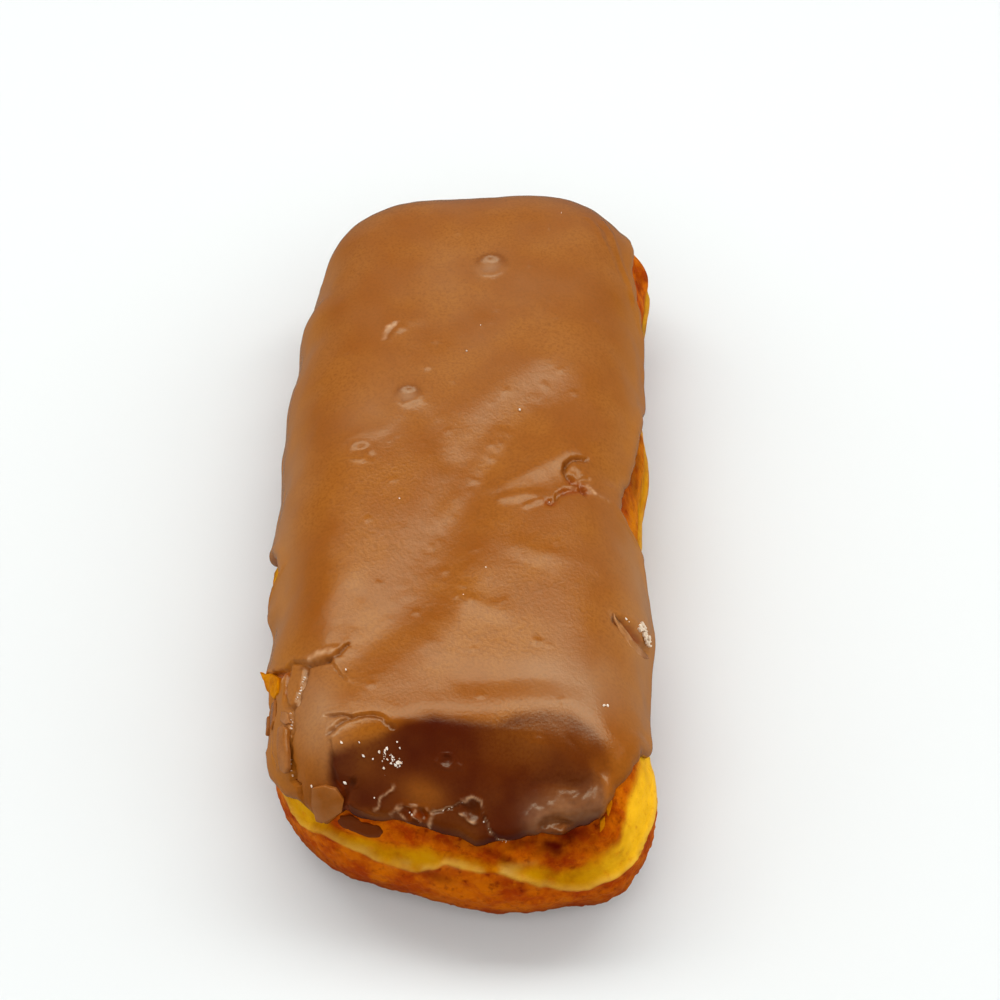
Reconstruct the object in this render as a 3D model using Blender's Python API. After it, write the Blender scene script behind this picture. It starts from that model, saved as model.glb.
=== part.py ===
"""A long john: a bar of raised, fried dough, resting on its flat underside, with a cap of
brown icing draped over its top and sides.

The dough is one pillow with rounded ends. Its skin is laid out as a flat sheet: U runs across
the bar, V along it, and the sheet folds down over the sides. Every place on the skin has an
"arc", the distance up the skin from the widest line of the bar, negative below that line.
The icing follows the same skin, raised off it along its normals.

Metres, +Z up, +Y along the bar to its far end, origin under the middle of the bar.
"""

import math

import bmesh
import bpy
import numpy as np
from mathutils import Matrix, Vector

MM = 0.001

# The bar of dough
HALF_WIDTH = 37.5 * MM
HALF_LENGTH = 85.3 * MM
DOUGH_HEIGHT = 38.2 * MM
WIDEST_HEIGHT = 15.2 * MM
TOP_ROUNDING = 18.8 * MM
TOP_SQUARENESS = 2.25
NEAR_END_SQUARENESS = 1.62
UNDER_ROUNDING = 15.0 * MM
UNDER_SQUARENESS = 2.1
PLAN_CORNER = {
    ("left", "near"): 15.5 * MM,
    ("right", "near"): 19.0 * MM,
    ("left", "far"): 21.5 * MM,
    ("right", "far"): 29.0 * MM,
}
SIDEWAYS_BOW = -4.4 * MM
NEAR_END_SLANT = -5.0 * MM
FAR_END_SLANT = 4.6 * MM
NEAR_END_BULGE = 5.5 * MM
CROWN = 1.2 * MM
OUTLINE_MIDDLE = (-4.25 * MM, -2.5 * MM)

# Swells and dips of the outline: side, place along that side, reach, height
OUTLINE_SWELLS = (
    ("left", 66.0 * MM, 8.0 * MM, -0.8 * MM),
    ("left", 56.0 * MM, 7.0 * MM, -0.6 * MM),
    ("left", 47.0 * MM, 7.0 * MM, 1.2 * MM),
    ("left", 25.0 * MM, 8.0 * MM, 1.1 * MM),
    ("left", 12.0 * MM, 9.0 * MM, 0.8 * MM),
    ("left", -17.5 * MM, 9.0 * MM, 1.2 * MM),
    ("left", -37.0 * MM, 7.0 * MM, -1.0 * MM),
    ("left", -50.0 * MM, 5.0 * MM, 0.5 * MM),
    ("left", -60.0 * MM, 6.0 * MM, -0.6 * MM),
    ("right", 62.5 * MM, 6.0 * MM, -1.2 * MM),
    ("right", 13.0 * MM, 12.0 * MM, 1.2 * MM),
    ("right", -35.0 * MM, 5.0 * MM, 0.7 * MM),
    ("right", -55.0 * MM, 11.0 * MM, -1.4 * MM),
    ("near", 3.0 * MM, 10.0 * MM, 1.2 * MM),
    ("near", 21.0 * MM, 6.0 * MM, -1.0 * MM),
    ("near", 30.0 * MM, 6.0 * MM, 0.6 * MM),
)

# The pale seam round the bar: a shallow channel over a thin crisp ridge
RIDGE_ARC = 2.2 * MM
RIDGE_HEIGHT = 0.7 * MM
RIDGE_REACH = 1.2 * MM
SEAM_ARC = 6.5 * MM
SEAM_DEPTH = 0.6 * MM
SEAM_REACH = 3.0 * MM
BARE_MARGIN = 3.0 * MM

# A shallow fold lies slantwise over the top: points of its line in the sheet, depth, reach
FOLD_LINE = (
    (17.0 * MM, 14.0 * MM),
    (5.0 * MM, 2.0 * MM),
    (-4.0 * MM, -22.0 * MM),
    (-13.0 * MM, -39.0 * MM),
    (-26.0 * MM, -55.0 * MM),
)
FOLD_DEPTH = 0.8 * MM
FOLD_REACH = 7.0 * MM

# The icing
ICING_GAP = 0.3 * MM
ICING_THICKNESS = 1.2 * MM
RIM_WIDTH = 1.8 * MM
RIM_BEAD = 0.35 * MM
RIM_BEAD_AT = 2.6 * MM

# Lower edge of the icing: side, place along that side from -1 to 1, arc of the edge
ICING_EDGE = (
    ("near", -0.92, 9.2 * MM),
    ("near", -0.72, 8.6 * MM),
    ("near", -0.55, 12.0 * MM),
    ("near", -0.37, 14.2 * MM),
    ("near", -0.15, 12.6 * MM),
    ("near", 0.14, 14.2 * MM),
    ("near", 0.34, 16.4 * MM),
    ("near", 0.60, 18.0 * MM),
    ("near", 0.83, 21.6 * MM),
    ("right", -0.92, 20.4 * MM),
    ("right", -0.82, 16.5 * MM),
    ("right", -0.72, 9.5 * MM),
    ("right", -0.58, 4.5 * MM),
    ("right", -0.35, 4.0 * MM),
    ("right", -0.22, 8.6 * MM),
    ("right", -0.08, 7.6 * MM),
    ("right", 0.06, 9.0 * MM),
    ("right", 0.20, 8.4 * MM),
    ("right", 0.36, 3.8 * MM),
    ("right", 0.50, 5.0 * MM),
    ("right", 0.66, 11.0 * MM),
    ("right", 0.82, 10.2 * MM),
    ("right", 0.97, 4.0 * MM),
    ("far", 0.55, 2.0 * MM),
    ("far", 0.15, 5.0 * MM),
    ("far", -0.25, 1.5 * MM),
    ("far", -0.70, 4.0 * MM),
    ("left", 0.90, 2.0 * MM),
    ("left", 0.66, 3.6 * MM),
    ("left", 0.47, -1.2 * MM),
    ("left", 0.35, 2.2 * MM),
    ("left", 0.22, -2.2 * MM),
    ("left", 0.13, 0.8 * MM),
    ("left", 0.05, -1.8 * MM),
    ("left", -0.08, 2.0 * MM),
    ("left", -0.16, -0.6 * MM),
    ("left", -0.24, 5.0 * MM),
    ("left", -0.34, -1.6 * MM),
    ("left", -0.50, 2.4 * MM),
    ("left", -0.63, 6.5 * MM),
    ("left", -0.74, 3.0 * MM),
    ("left", -0.86, 6.0 * MM),
    ("left", -0.95, 8.4 * MM),
)

# Round dents of burst bubbles: place in the sheet, radius, depth
BUBBLE_DENTS = (
    (2.6 * MM, 51.7 * MM, 2.5 * MM, 0.45 * MM),
    (-11.6 * MM, 12.4 * MM, 1.8 * MM, 0.40 * MM),
    (-16.7 * MM, 30.5 * MM, 1.6 * MM, 0.55 * MM),
    (-20.9 * MM, -3.2 * MM, 2.4 * MM, 0.40 * MM),
    (23.4 * MM, -6.5 * MM, 2.6 * MM, 0.55 * MM),
    (-12.2 * MM, -83.8 * MM, 2.2 * MM, 0.75 * MM),
    (0.5 * MM, -78.8 * MM, 2.3 * MM, 0.75 * MM),
    (17.6 * MM, -82.4 * MM, 1.6 * MM, 0.70 * MM),
)
DENT_SIDES = 14

# Splits right through the icing: points of the line in the sheet, widest opening
SPLITS = (
    (((-38.2, -54.6), (-33.5, -53.6), (-28.3, -54.6), (-23.8, -53.9)), 1.5 * MM),
    (((20.4, -13.4), (17.8, -13.9), (15.2, -15.0)), 0.9 * MM),
)
SPLIT_END_WIDTH = 0.4 * MM
SPLIT_REACH = 3.0 * MM

# A gash torn into the icing over the right shoulder: its two ends in the sheet
GASH_ENDS = ((31.5, -40.4), (41.5, -43.4))
GASH_WIDTH = 1.5 * MM
GASH_DEPTH = 0.9 * MM

# Broken slabs of icing fused on at the near left corner: corners in the sheet, height over the cap
SLABS = (
    ((-31.4, -81.2, 0.5), (-24.8, -80.2, 0.4), (-24.2, -84.5, 0.9), (-26.8, -88.8, 1.3), (-31.2, -87.4, 1.1)),
    ((-37.8, -70.2, 0.4), (-34.6, -69.8, 0.4), (-34.0, -75.0, 0.7), (-34.6, -79.0, 0.8), (-37.2, -79.2, 0.9)),
    ((-31.6, -56.2, 0.3), (-26.6, -56.8, 0.4), (-23.6, -61.0, 0.3), (-28.2, -67.8, 0.4), (-33.2, -66.8, 0.5)),
)
SLAB_FOOT = 0.6 * MM
SLAB_BEVEL = 0.3 * MM

# Steps of the facets
ACROSS = 12
ALONG = 44
DOUGH_RINGS_BELOW = (1.0, 0.76, 0.54, 0.34, 0.17, 0.03)
DOUGH_RINGS_SEAM = (1.0 * MM, 2.2 * MM, 3.4 * MM, 5.0 * MM, 7.5 * MM, 10.0 * MM)
DOUGH_RINGS_ABOVE = (0.42, 0.54, 0.66, 0.78, 0.89, 1.0)
ICING_RINGS_RIM = (0.0, 0.35 * MM, 1.0 * MM, 2.4 * MM)
ICING_RINGS_BODY = (0.2, 0.36, 0.52, 0.68, 0.84, 1.0)
INNER_RINGS_RIM = (0.0, 2.4 * MM)
TABLE_STEPS = 400
NORMAL_STEP = 0.2 * MM


def superellipse_arc(inset, rise, squareness):
    """Arc length, inset and height along a quarter of a superellipse, from its widest point."""
    turn = np.linspace(0.0, math.pi / 2, TABLE_STEPS)
    insets = inset * (1.0 - np.cos(turn) ** (2.0 / squareness))
    heights = rise * np.sin(turn) ** (2.0 / squareness)
    steps = np.hypot(np.diff(insets), np.diff(heights))
    return np.concatenate([[0.0], np.cumsum(steps)]), insets, heights


TOP_ARC, TOP_INSET, TOP_RISE = superellipse_arc(
    TOP_ROUNDING, DOUGH_HEIGHT - WIDEST_HEIGHT, TOP_SQUARENESS
)
NEAR_ARC, NEAR_INSET, NEAR_RISE = superellipse_arc(
    TOP_ROUNDING, DOUGH_HEIGHT - WIDEST_HEIGHT, NEAR_END_SQUARENESS
)
UNDER_ARC, UNDER_INSET, UNDER_DROP = superellipse_arc(
    UNDER_ROUNDING, WIDEST_HEIGHT, UNDER_SQUARENESS
)
TOP_LENGTH = TOP_ARC[-1]
UNDER_LENGTH = UNDER_ARC[-1]
ROUND_TRIP = 4.0 * (HALF_WIDTH + HALF_LENGTH)
SHEET_HALF_U = HALF_WIDTH - TOP_ROUNDING + TOP_LENGTH
SHEET_HALF_V = HALF_LENGTH - TOP_ROUNDING + TOP_LENGTH


def smooth(value):
    """Smooth step from 0 to 1."""
    value = np.clip(value, 0.0, 1.0)
    return value * value * (3.0 - 2.0 * value)


def bump(distance, reach):
    """Rounded bump of height 1 that fades over its reach."""
    return np.exp(-((distance / reach) ** 2))


def arc_of(u, v):
    """Distance up the skin from the widest line."""
    return np.minimum(SHEET_HALF_U - np.abs(u), SHEET_HALF_V - np.abs(v))


def ring_of(u, v):
    """Place round the bar, as a point on the edge of the square from -1 to 1."""
    arc = arc_of(u, v)
    ring_x = np.clip(u / np.maximum(SHEET_HALF_U - arc, NORMAL_STEP), -1.0, 1.0)
    ring_y = np.clip(v / np.maximum(SHEET_HALF_V - arc, NORMAL_STEP), -1.0, 1.0)
    return ring_x, ring_y


def station_of(ring_x, ring_y):
    """Distance round the bar from the middle of its near end, towards the right."""
    near = ring_x * HALF_WIDTH + np.where(ring_x >= 0.0, 0.0, ROUND_TRIP)
    right = HALF_WIDTH + (ring_y + 1.0) * HALF_LENGTH
    far = 2.0 * HALF_LENGTH + HALF_WIDTH * (2.0 - ring_x)
    left = 3.0 * HALF_WIDTH + HALF_LENGTH * (3.0 - ring_y)
    sideways = np.abs(ring_x) >= np.abs(ring_y)
    ends = np.where(ring_y < 0.0, near, far)
    return np.where(sideways, np.where(ring_x > 0.0, right, left), ends)


def edge_table():
    """Stations and arcs of the lower edge of the icing, in order round the bar."""
    corner = {"near": (None, -1.0), "far": (None, 1.0), "right": (1.0, None), "left": (-1.0, None)}
    rows = []
    for side, place, arc in ICING_EDGE:
        ring_x, ring_y = corner[side]
        ring_x = place if ring_x is None else ring_x
        ring_y = place if ring_y is None else ring_y
        rows.append((float(station_of(np.float64(ring_x), np.float64(ring_y))), arc))
    rows.sort()
    return np.array(rows)


EDGE_TABLE = edge_table()


def edge_arc(ring_x, ring_y):
    """Arc of the lower edge of the icing at a place round the bar."""
    station = station_of(ring_x, ring_y)
    lap = np.array([-ROUND_TRIP, 0.0, ROUND_TRIP])
    stations = (EDGE_TABLE[:, 0] + lap[:, None]).ravel()
    arcs = np.tile(EDGE_TABLE[:, 1], len(lap))
    after = np.clip(np.searchsorted(stations, station), 1, len(stations) - 1)
    part = (station - stations[after - 1]) / (stations[after] - stations[after - 1])
    return arcs[after - 1] + smooth(part) * (arcs[after] - arcs[after - 1])


def near_end_share(ring_x, ring_y):
    """1 on the steeper near end, 0 elsewhere."""
    return smooth((-ring_y - 0.86) / 0.12) * smooth((1.0 - np.abs(ring_x)) / 0.35)


def section(arc, near_end):
    """Inset from the widest line and height above the table at an arc."""
    above = arc >= 0.0
    past = np.maximum(arc - TOP_LENGTH, 0.0)
    part = np.clip(arc / TOP_LENGTH, 0.0, 1.0)
    inset = np.interp(part * TOP_LENGTH, TOP_ARC, TOP_INSET)
    rise = np.interp(part * TOP_LENGTH, TOP_ARC, TOP_RISE)
    near_inset = np.interp(part * NEAR_ARC[-1], NEAR_ARC, NEAR_INSET)
    near_rise = np.interp(part * NEAR_ARC[-1], NEAR_ARC, NEAR_RISE)
    inset = inset + near_end * (near_inset - inset) + past
    rise = rise + near_end * (near_rise - rise)
    under_inset = np.interp(-arc, UNDER_ARC, UNDER_INSET)
    under_drop = np.interp(-arc, UNDER_ARC, UNDER_DROP)
    inset = np.where(above, inset, under_inset)
    height = np.where(above, WIDEST_HEIGHT + rise, WIDEST_HEIGHT - under_drop)
    return inset, height


def outline_swell(ring_x, ring_y):
    """How far the outline stands out from its even shape."""
    total = np.zeros_like(ring_x)
    for side, place, reach, height in OUTLINE_SWELLS:
        if side in ("left", "right"):
            along, toward = ring_y * HALF_LENGTH, ring_x
        else:
            along, toward = ring_x * HALF_WIDTH, ring_y
        sign = -1.0 if side in ("left", "near") else 1.0
        total = total + height * bump(along - place, reach) * smooth((toward * sign - 0.6) / 0.4)
    return total


def round_corners(x, y, inset):
    """The square plan, with its four corners rounded by radii that shrink with the inset."""
    near = np.where(x > 0.0, PLAN_CORNER["right", "near"], PLAN_CORNER["left", "near"])
    far = np.where(x > 0.0, PLAN_CORNER["right", "far"], PLAN_CORNER["left", "far"])
    radius = np.maximum(np.where(y > 0.0, far, near) - inset, 0.5 * MM)
    centre_x = np.clip(x, -(HALF_WIDTH - inset - radius), HALF_WIDTH - inset - radius)
    centre_y = np.clip(y, -(HALF_LENGTH - inset - radius), HALF_LENGTH - inset - radius)
    off_x = x - centre_x
    off_y = y - centre_y
    reach = np.hypot(off_x, off_y)
    scale = np.maximum(np.abs(off_x), np.abs(off_y)) / np.maximum(reach, 1e-9)
    scale = np.where(reach > 1e-9, scale, 0.0)
    return centre_x + off_x * scale, centre_y + off_y * scale


def smooth_skin(u, v):
    """Points of the even skin of the dough at places in the sheet."""
    arc = arc_of(u, v)
    ring_x, ring_y = ring_of(u, v)
    inset, height = section(arc, near_end_share(ring_x, ring_y))
    inset = inset - outline_swell(ring_x, ring_y) * np.clip(1.0 - inset / TOP_ROUNDING, 0.0, 1.0)
    inset = np.minimum(inset, HALF_WIDTH - NORMAL_STEP * 0.01)
    x, y = round_corners(ring_x * (HALF_WIDTH - inset), ring_y * (HALF_LENGTH - inset), inset)
    along = y / HALF_LENGTH
    across = x / HALF_WIDTH
    x = x + SIDEWAYS_BOW * (1.0 - along**2)
    y = y + across * NEAR_END_SLANT * np.clip(-along, 0.0, 1.0) ** 2
    y = y + across * FAR_END_SLANT * np.clip(along, 0.0, 1.0) ** 2
    y = y - NEAR_END_BULGE * (1.0 - across**2) * np.clip(-along, 0.0, 1.0) ** 4
    lifted = smooth((height - WIDEST_HEIGHT) / (DOUGH_HEIGHT - WIDEST_HEIGHT))
    height = height + CROWN * lifted * (1.0 - across**2) * (1.0 - along**2)
    return np.stack([x - OUTLINE_MIDDLE[0], y - OUTLINE_MIDDLE[1], height], axis=-1)


def outward(u, v):
    """Unit normals of the even skin."""
    step_u = smooth_skin(u + NORMAL_STEP, v) - smooth_skin(u - NORMAL_STEP, v)
    step_v = smooth_skin(u, v + NORMAL_STEP) - smooth_skin(u, v - NORMAL_STEP)
    normal = np.cross(step_u, step_v)
    return normal / np.linalg.norm(normal, axis=-1, keepdims=True)


def distance_to_line(u, v, line):
    """Distance in the sheet from places to a line of points."""
    nearest = np.full_like(u, np.inf)
    for start, end in zip(line, line[1:]):
        run_u = end[0] - start[0]
        run_v = end[1] - start[1]
        part = ((u - start[0]) * run_u + (v - start[1]) * run_v) / (run_u**2 + run_v**2)
        part = np.clip(part, 0.0, 1.0)
        away = np.hypot(u - start[0] - part * run_u, v - start[1] - part * run_v)
        nearest = np.minimum(nearest, away)
    return nearest


def dough_relief(u, v):
    """Height of the dough over its even skin: the seam where it lies bare, the fold on the top."""
    arc = arc_of(u, v)
    bare = smooth((edge_arc(*ring_of(u, v)) - RIDGE_ARC - BARE_MARGIN) / BARE_MARGIN)
    ridge = RIDGE_HEIGHT * bump(arc - RIDGE_ARC, RIDGE_REACH)
    channel = SEAM_DEPTH * bump(arc - SEAM_ARC, SEAM_REACH)
    fold = FOLD_DEPTH * bump(distance_to_line(u, v, FOLD_LINE), FOLD_REACH)
    return bare * (ridge - channel) - fold


def raised(u, v, height):
    """Points of the dough's skin, moved out along its normals by a height."""
    return smooth_skin(u, v) + outward(u, v) * (dough_relief(u, v) + height)[..., None]


def ring_places():
    """The places round the edge of the square, from the near left corner towards the right."""
    across = np.linspace(-1.0, 1.0, ACROSS + 1)
    along = np.linspace(-1.0, 1.0, ALONG + 1)
    near = [(x, -1.0) for x in across[:-1]]
    right = [(1.0, y) for y in along[:-1]]
    far = [(x, 1.0) for x in across[:0:-1]]
    left = [(-1.0, y) for y in along[:0:-1]]
    return np.array(near + right + far + left)


def sheet_layout(arc_rings):
    """Sheet places and faces of a cover: rings of equal count from its edge in, then a grid.

    The last ring is the border of the grid, so its arc is the same all round.
    """
    places = ring_places()
    count = len(places)
    us = [places[:, 0] * (SHEET_HALF_U - arcs) for arcs in arc_rings]
    vs = [places[:, 1] * (SHEET_HALF_V - arcs) for arcs in arc_rings]
    faces = []
    for ring in range(len(arc_rings) - 1):
        for step in range(count):
            after = (step + 1) % count
            low = ring * count
            faces.append((low + step, low + after, low + count + after, low + count + step))
    last = (len(arc_rings) - 1) * count
    border = {}
    for step, (x, y) in enumerate(places):
        border[round((x + 1.0) * ACROSS / 2), round((y + 1.0) * ALONG / 2)] = last + step
    half_u = abs(us[-1][0])
    half_v = abs(vs[-1][0])
    inner_u = []
    inner_v = []
    total = len(arc_rings) * count
    for row in range(1, ALONG):
        for column in range(1, ACROSS):
            border[column, row] = total + len(inner_u)
            inner_u.append(half_u * (2.0 * column / ACROSS - 1.0))
            inner_v.append(half_v * (2.0 * row / ALONG - 1.0))
    for row in range(ALONG):
        for column in range(ACROSS):
            corners = ((column, row), (column + 1, row), (column + 1, row + 1), (column, row + 1))
            faces.append(tuple(border[corner] for corner in corners))
    u = np.concatenate(us + [np.array(inner_u)])
    v = np.concatenate(vs + [np.array(inner_v)])
    return u, v, faces, count


def mesh_object(name, points, faces):
    """An object with a closed mesh of these points and faces, its faces turned outward."""
    mesh = bpy.data.meshes.new(name)
    shell = bmesh.new()
    corners = [shell.verts.new(point) for point in points]
    for face in faces:
        shell.faces.new([corners[index] for index in face])
    bmesh.ops.recalc_face_normals(shell, faces=shell.faces)
    bmesh.ops.triangulate(shell, faces=shell.faces)
    shell.to_mesh(mesh)
    shell.free()
    obj = bpy.data.objects.new(name, mesh)
    bpy.context.scene.collection.objects.link(obj)
    return obj


def build_dough():
    """The pillow of dough on its flat underside."""
    places = ring_places()
    level = np.ones(len(places))
    rings = [-share * UNDER_LENGTH * level for share in DOUGH_RINGS_BELOW]
    rings += [arc * level for arc in DOUGH_RINGS_SEAM]
    rings += [share * TOP_LENGTH * level for share in DOUGH_RINGS_ABOVE]
    u, v, faces, count = sheet_layout(rings)
    points = raised(u, v, np.zeros_like(u))
    points[:count, 2] = 0.0
    faces.append(tuple(range(count - 1, -1, -1)))
    return mesh_object("dough", points, faces)


def icing_profile(distance):
    """Thickness of the icing at a distance from its lower edge: a rounded rim with a faint bead."""
    part = np.clip(distance / RIM_WIDTH, 0.0, 1.0)
    rim = ICING_THICKNESS * np.sqrt(1.0 - (1.0 - part) ** 2)
    return rim + RIM_BEAD * bump(distance - RIM_BEAD_AT, RIM_BEAD_AT * 0.6) * part


def cover_rings(rim_steps):
    """Arcs of the rings of an icing surface: some at fixed distances from the edge, then shares."""
    places = ring_places()
    edge = edge_arc(places[:, 0], places[:, 1])
    rings = [edge + step for step in rim_steps]
    start = edge + rim_steps[-1]
    rings += [start + share * (TOP_LENGTH - start) for share in ICING_RINGS_BODY]
    return rings, edge


def build_icing():
    """The icing as a slab between its outer face and the face that lies over the dough."""
    outer_rings, edge = cover_rings(ICING_RINGS_RIM)
    inner_rings, edge = cover_rings(INNER_RINGS_RIM)
    u, v, outer_faces, count = sheet_layout(outer_rings)
    distance = arc_of(u, v) - edge_arc(*ring_of(u, v))
    distance[:count] = 0.0
    outer = raised(u, v, ICING_GAP + icing_profile(distance))
    u, v, inner_faces, count = sheet_layout(inner_rings)
    inner = raised(u, v, np.full_like(u, ICING_GAP))
    shift = len(outer) - count
    faces = list(outer_faces)
    for face in inner_faces:
        faces.append(tuple(index if index < count else index + shift for index in face[::-1]))
    return mesh_object("icing", np.concatenate([outer, inner[count:]]), faces)


def skin_frame(u, v, height):
    """Matrix that stands on the skin: X along U, Z outward."""
    at_u = np.array([u])
    at_v = np.array([v])
    origin = raised(at_u, at_v, np.array([height]))[0]
    normal = Vector(outward(at_u, at_v)[0])
    ahead = raised(at_u + NORMAL_STEP, at_v, np.array([height]))[0]
    along = Vector(ahead - origin)
    along = (along - normal * along.dot(normal)).normalized()
    side = normal.cross(along)
    turn = Matrix((along, side, normal)).transposed().to_4x4()
    return Matrix.Translation(Vector(origin)) @ turn


def add_dents(shell):
    """Lens shaped cutters for the dents of burst bubbles."""
    for u, v, radius, depth in BUBBLE_DENTS:
        ball = (radius**2 + depth**2) / (2.0 * depth)
        frame = skin_frame(u, v, ICING_GAP + ICING_THICKNESS + ball - depth)
        bmesh.ops.create_uvsphere(
            shell,
            u_segments=DENT_SIDES,
            v_segments=DENT_SIDES * 2,
            radius=ball,
            matrix=frame,
        )


def add_blade(shell, line, widths, floor, ceiling):
    """A blade shaped cutter that follows a line in the sheet, between two heights over the skin."""
    rows = []
    for index, (u, v) in enumerate(line):
        before = line[max(index - 1, 0)]
        after = line[min(index + 1, len(line) - 1)]
        run = Vector((after[0] - before[0], after[1] - before[1])).normalized()
        row = []
        for side, height in ((-1.0, floor), (1.0, floor), (1.0, ceiling), (-1.0, ceiling)):
            offset = side * widths[index] / 2.0
            at_u = np.array([u - run.y * offset])
            at_v = np.array([v + run.x * offset])
            row.append(shell.verts.new(raised(at_u, at_v, np.array([height]))[0]))
        rows.append(row)
    for first, second in zip(rows, rows[1:]):
        for corner in range(4):
            after = (corner + 1) % 4
            shell.faces.new((first[corner], first[after], second[after], second[corner]))
    shell.faces.new(rows[0][::-1])
    shell.faces.new(rows[-1])


def add_openings(shell):
    """Cutters for the splits that open right through the icing, and for the gash."""
    for line, opening in SPLITS:
        points = [(u * MM, v * MM) for u, v in line]
        widths = [SPLIT_END_WIDTH] + [opening] * (len(points) - 2) + [SPLIT_END_WIDTH]
        add_blade(shell, points, widths, -SPLIT_REACH, SPLIT_REACH)
    start, end = [(u * MM, v * MM) for u, v in GASH_ENDS]
    middle = ((start[0] + end[0]) / 2.0, (start[1] + end[1]) / 2.0)
    floor = ICING_GAP + ICING_THICKNESS - GASH_DEPTH
    widths = [SPLIT_END_WIDTH, GASH_WIDTH, SPLIT_END_WIDTH]
    add_blade(shell, [start, middle, end], widths, floor, SPLIT_REACH)


def add_slabs(shell):
    """Broken slabs of icing that stand on the cap with their feet sunk in it."""
    for slab in SLABS:
        u = np.array([corner[0] for corner in slab]) * MM
        v = np.array([corner[1] for corner in slab]) * MM
        rise = np.array([corner[2] for corner in slab]) * MM
        foot = [shell.verts.new(point) for point in raised(u, v, np.full_like(u, SLAB_FOOT))]
        head = [shell.verts.new(point) for point in raised(u, v, ICING_GAP + ICING_THICKNESS + rise)]
        shell.faces.new(foot[::-1])
        top = shell.faces.new(head)
        for index in range(len(slab)):
            after = (index + 1) % len(slab)
            shell.faces.new((foot[index], foot[after], head[after], head[index]))
        bmesh.ops.bevel(
            shell,
            geom=list(top.edges),
            offset=SLAB_BEVEL,
            segments=1,
            profile=0.5,
            affect="EDGES",
            material=-1,
        )


def tool_object(name, fill):
    """A helper object whose mesh the fill function adds to."""
    mesh = bpy.data.meshes.new(name)
    shell = bmesh.new()
    fill(shell)
    bmesh.ops.recalc_face_normals(shell, faces=shell.faces)
    shell.to_mesh(mesh)
    shell.free()
    obj = bpy.data.objects.new(name, mesh)
    bpy.context.scene.collection.objects.link(obj)
    return obj


def apply_boolean(target, tool, operation):
    """Cuts or joins the tool, then removes it."""
    modifier = target.modifiers.new(tool.name, "BOOLEAN")
    modifier.operation = operation
    modifier.solver = "EXACT"
    modifier.use_self = operation == "DIFFERENCE"
    modifier.object = tool
    bpy.context.view_layer.update()
    graph = bpy.context.evaluated_depsgraph_get()
    result = bpy.data.meshes.new_from_object(target.evaluated_get(graph))
    shell = bmesh.new()
    shell.from_mesh(result)
    bmesh.ops.triangulate(shell, faces=shell.faces)
    shell.to_mesh(result)
    shell.free()
    target.modifiers.clear()
    target.data = result
    bpy.data.objects.remove(tool)


def material(name, color, roughness):
    """A Principled material."""
    made = bpy.data.materials.new(name)
    made.use_nodes = True
    surface = made.node_tree.nodes["Principled BSDF"]
    surface.inputs["Base Color"].default_value = (*color, 1.0)
    surface.inputs["Roughness"].default_value = roughness
    return made


def main():
    for obj in list(bpy.data.objects):
        bpy.data.objects.remove(obj)
    dough = build_dough()
    icing = build_icing()
    apply_boolean(icing, tool_object("slabs", add_slabs), "UNION")
    apply_boolean(icing, tool_object("dents", add_dents), "DIFFERENCE")
    apply_boolean(icing, tool_object("openings", add_openings), "DIFFERENCE")
    dough.data.materials.clear()
    dough.data.materials.append(material("fried_dough", (0.52, 0.27, 0.045), 0.6))
    icing.data.materials.clear()
    icing.data.materials.append(material("brown_icing", (0.36, 0.11, 0.025), 0.4))


if __name__ == "__main__":
    main()
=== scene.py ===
"""Looks of a long john: a bar of fried dough under a cap of brown icing, on a pale floor.

Sizes are in millimetres. The skin of the bar is laid out as a sheet: U runs across the bar and
V along it, and the sheet folds down over the sides. The arc of a place is its distance up the
skin from the widest line of the bar. Marks on the dough and the icing are given by their
places in that sheet.
"""

import logging
import math
from dataclasses import dataclass
from enum import Enum

import bmesh
import bpy
import numpy as np
from mathutils import Matrix, Vector


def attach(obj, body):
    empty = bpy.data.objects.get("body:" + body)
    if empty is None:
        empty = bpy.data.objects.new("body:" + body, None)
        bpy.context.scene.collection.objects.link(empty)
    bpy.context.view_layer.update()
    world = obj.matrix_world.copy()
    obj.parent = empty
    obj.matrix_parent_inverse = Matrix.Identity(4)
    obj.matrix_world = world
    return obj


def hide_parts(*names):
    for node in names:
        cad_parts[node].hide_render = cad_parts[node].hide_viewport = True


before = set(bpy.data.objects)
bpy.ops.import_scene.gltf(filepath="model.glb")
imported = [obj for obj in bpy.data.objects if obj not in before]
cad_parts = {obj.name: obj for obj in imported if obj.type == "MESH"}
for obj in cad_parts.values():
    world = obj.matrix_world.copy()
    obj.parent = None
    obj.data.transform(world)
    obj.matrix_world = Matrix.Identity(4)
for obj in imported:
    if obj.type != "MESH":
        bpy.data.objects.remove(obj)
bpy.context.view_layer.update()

MM = 0.001
TINY = 1e-9
BORDER_SHARE = 1e-5
LOG = logging.getLogger("long_john")
Line = tuple[tuple[float, float], ...]
Dots = tuple[tuple[float, float, float], ...]
Span = tuple[float, float]
Array = np.ndarray

# The whole numbers that stir up a grid cell's place into chance, the bits that are kept of it, and
# how far each finer layer of noise is shifted, in millimetres.
HASH_PRIMES = (73856093, 19349663, 83492791)
HASH_SEED_STEP = 2654435761
HASH_ROUNDS = ((13, 1274126177), (16, 2246822519))
HASH_BITS = 0xFFFFFF
WORD = 0xFFFFFFFF
LAYER_SHIFT = 31.7


class Side(Enum):
    """The four sides of the bar, as the camera's viewer names them."""

    NEAR = "near"
    RIGHT = "right"
    FAR = "far"
    LEFT = "left"


def smooth(value: Array) -> Array:
    """Smooth step.

    Args:
        value: Any numbers; what is below 0 or above 1 is clipped.

    Returns:
        Numbers from 0 to 1 with a soft start and end.
    """
    value = np.clip(value, 0.0, 1.0)
    return value * value * (3.0 - 2.0 * value)


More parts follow.
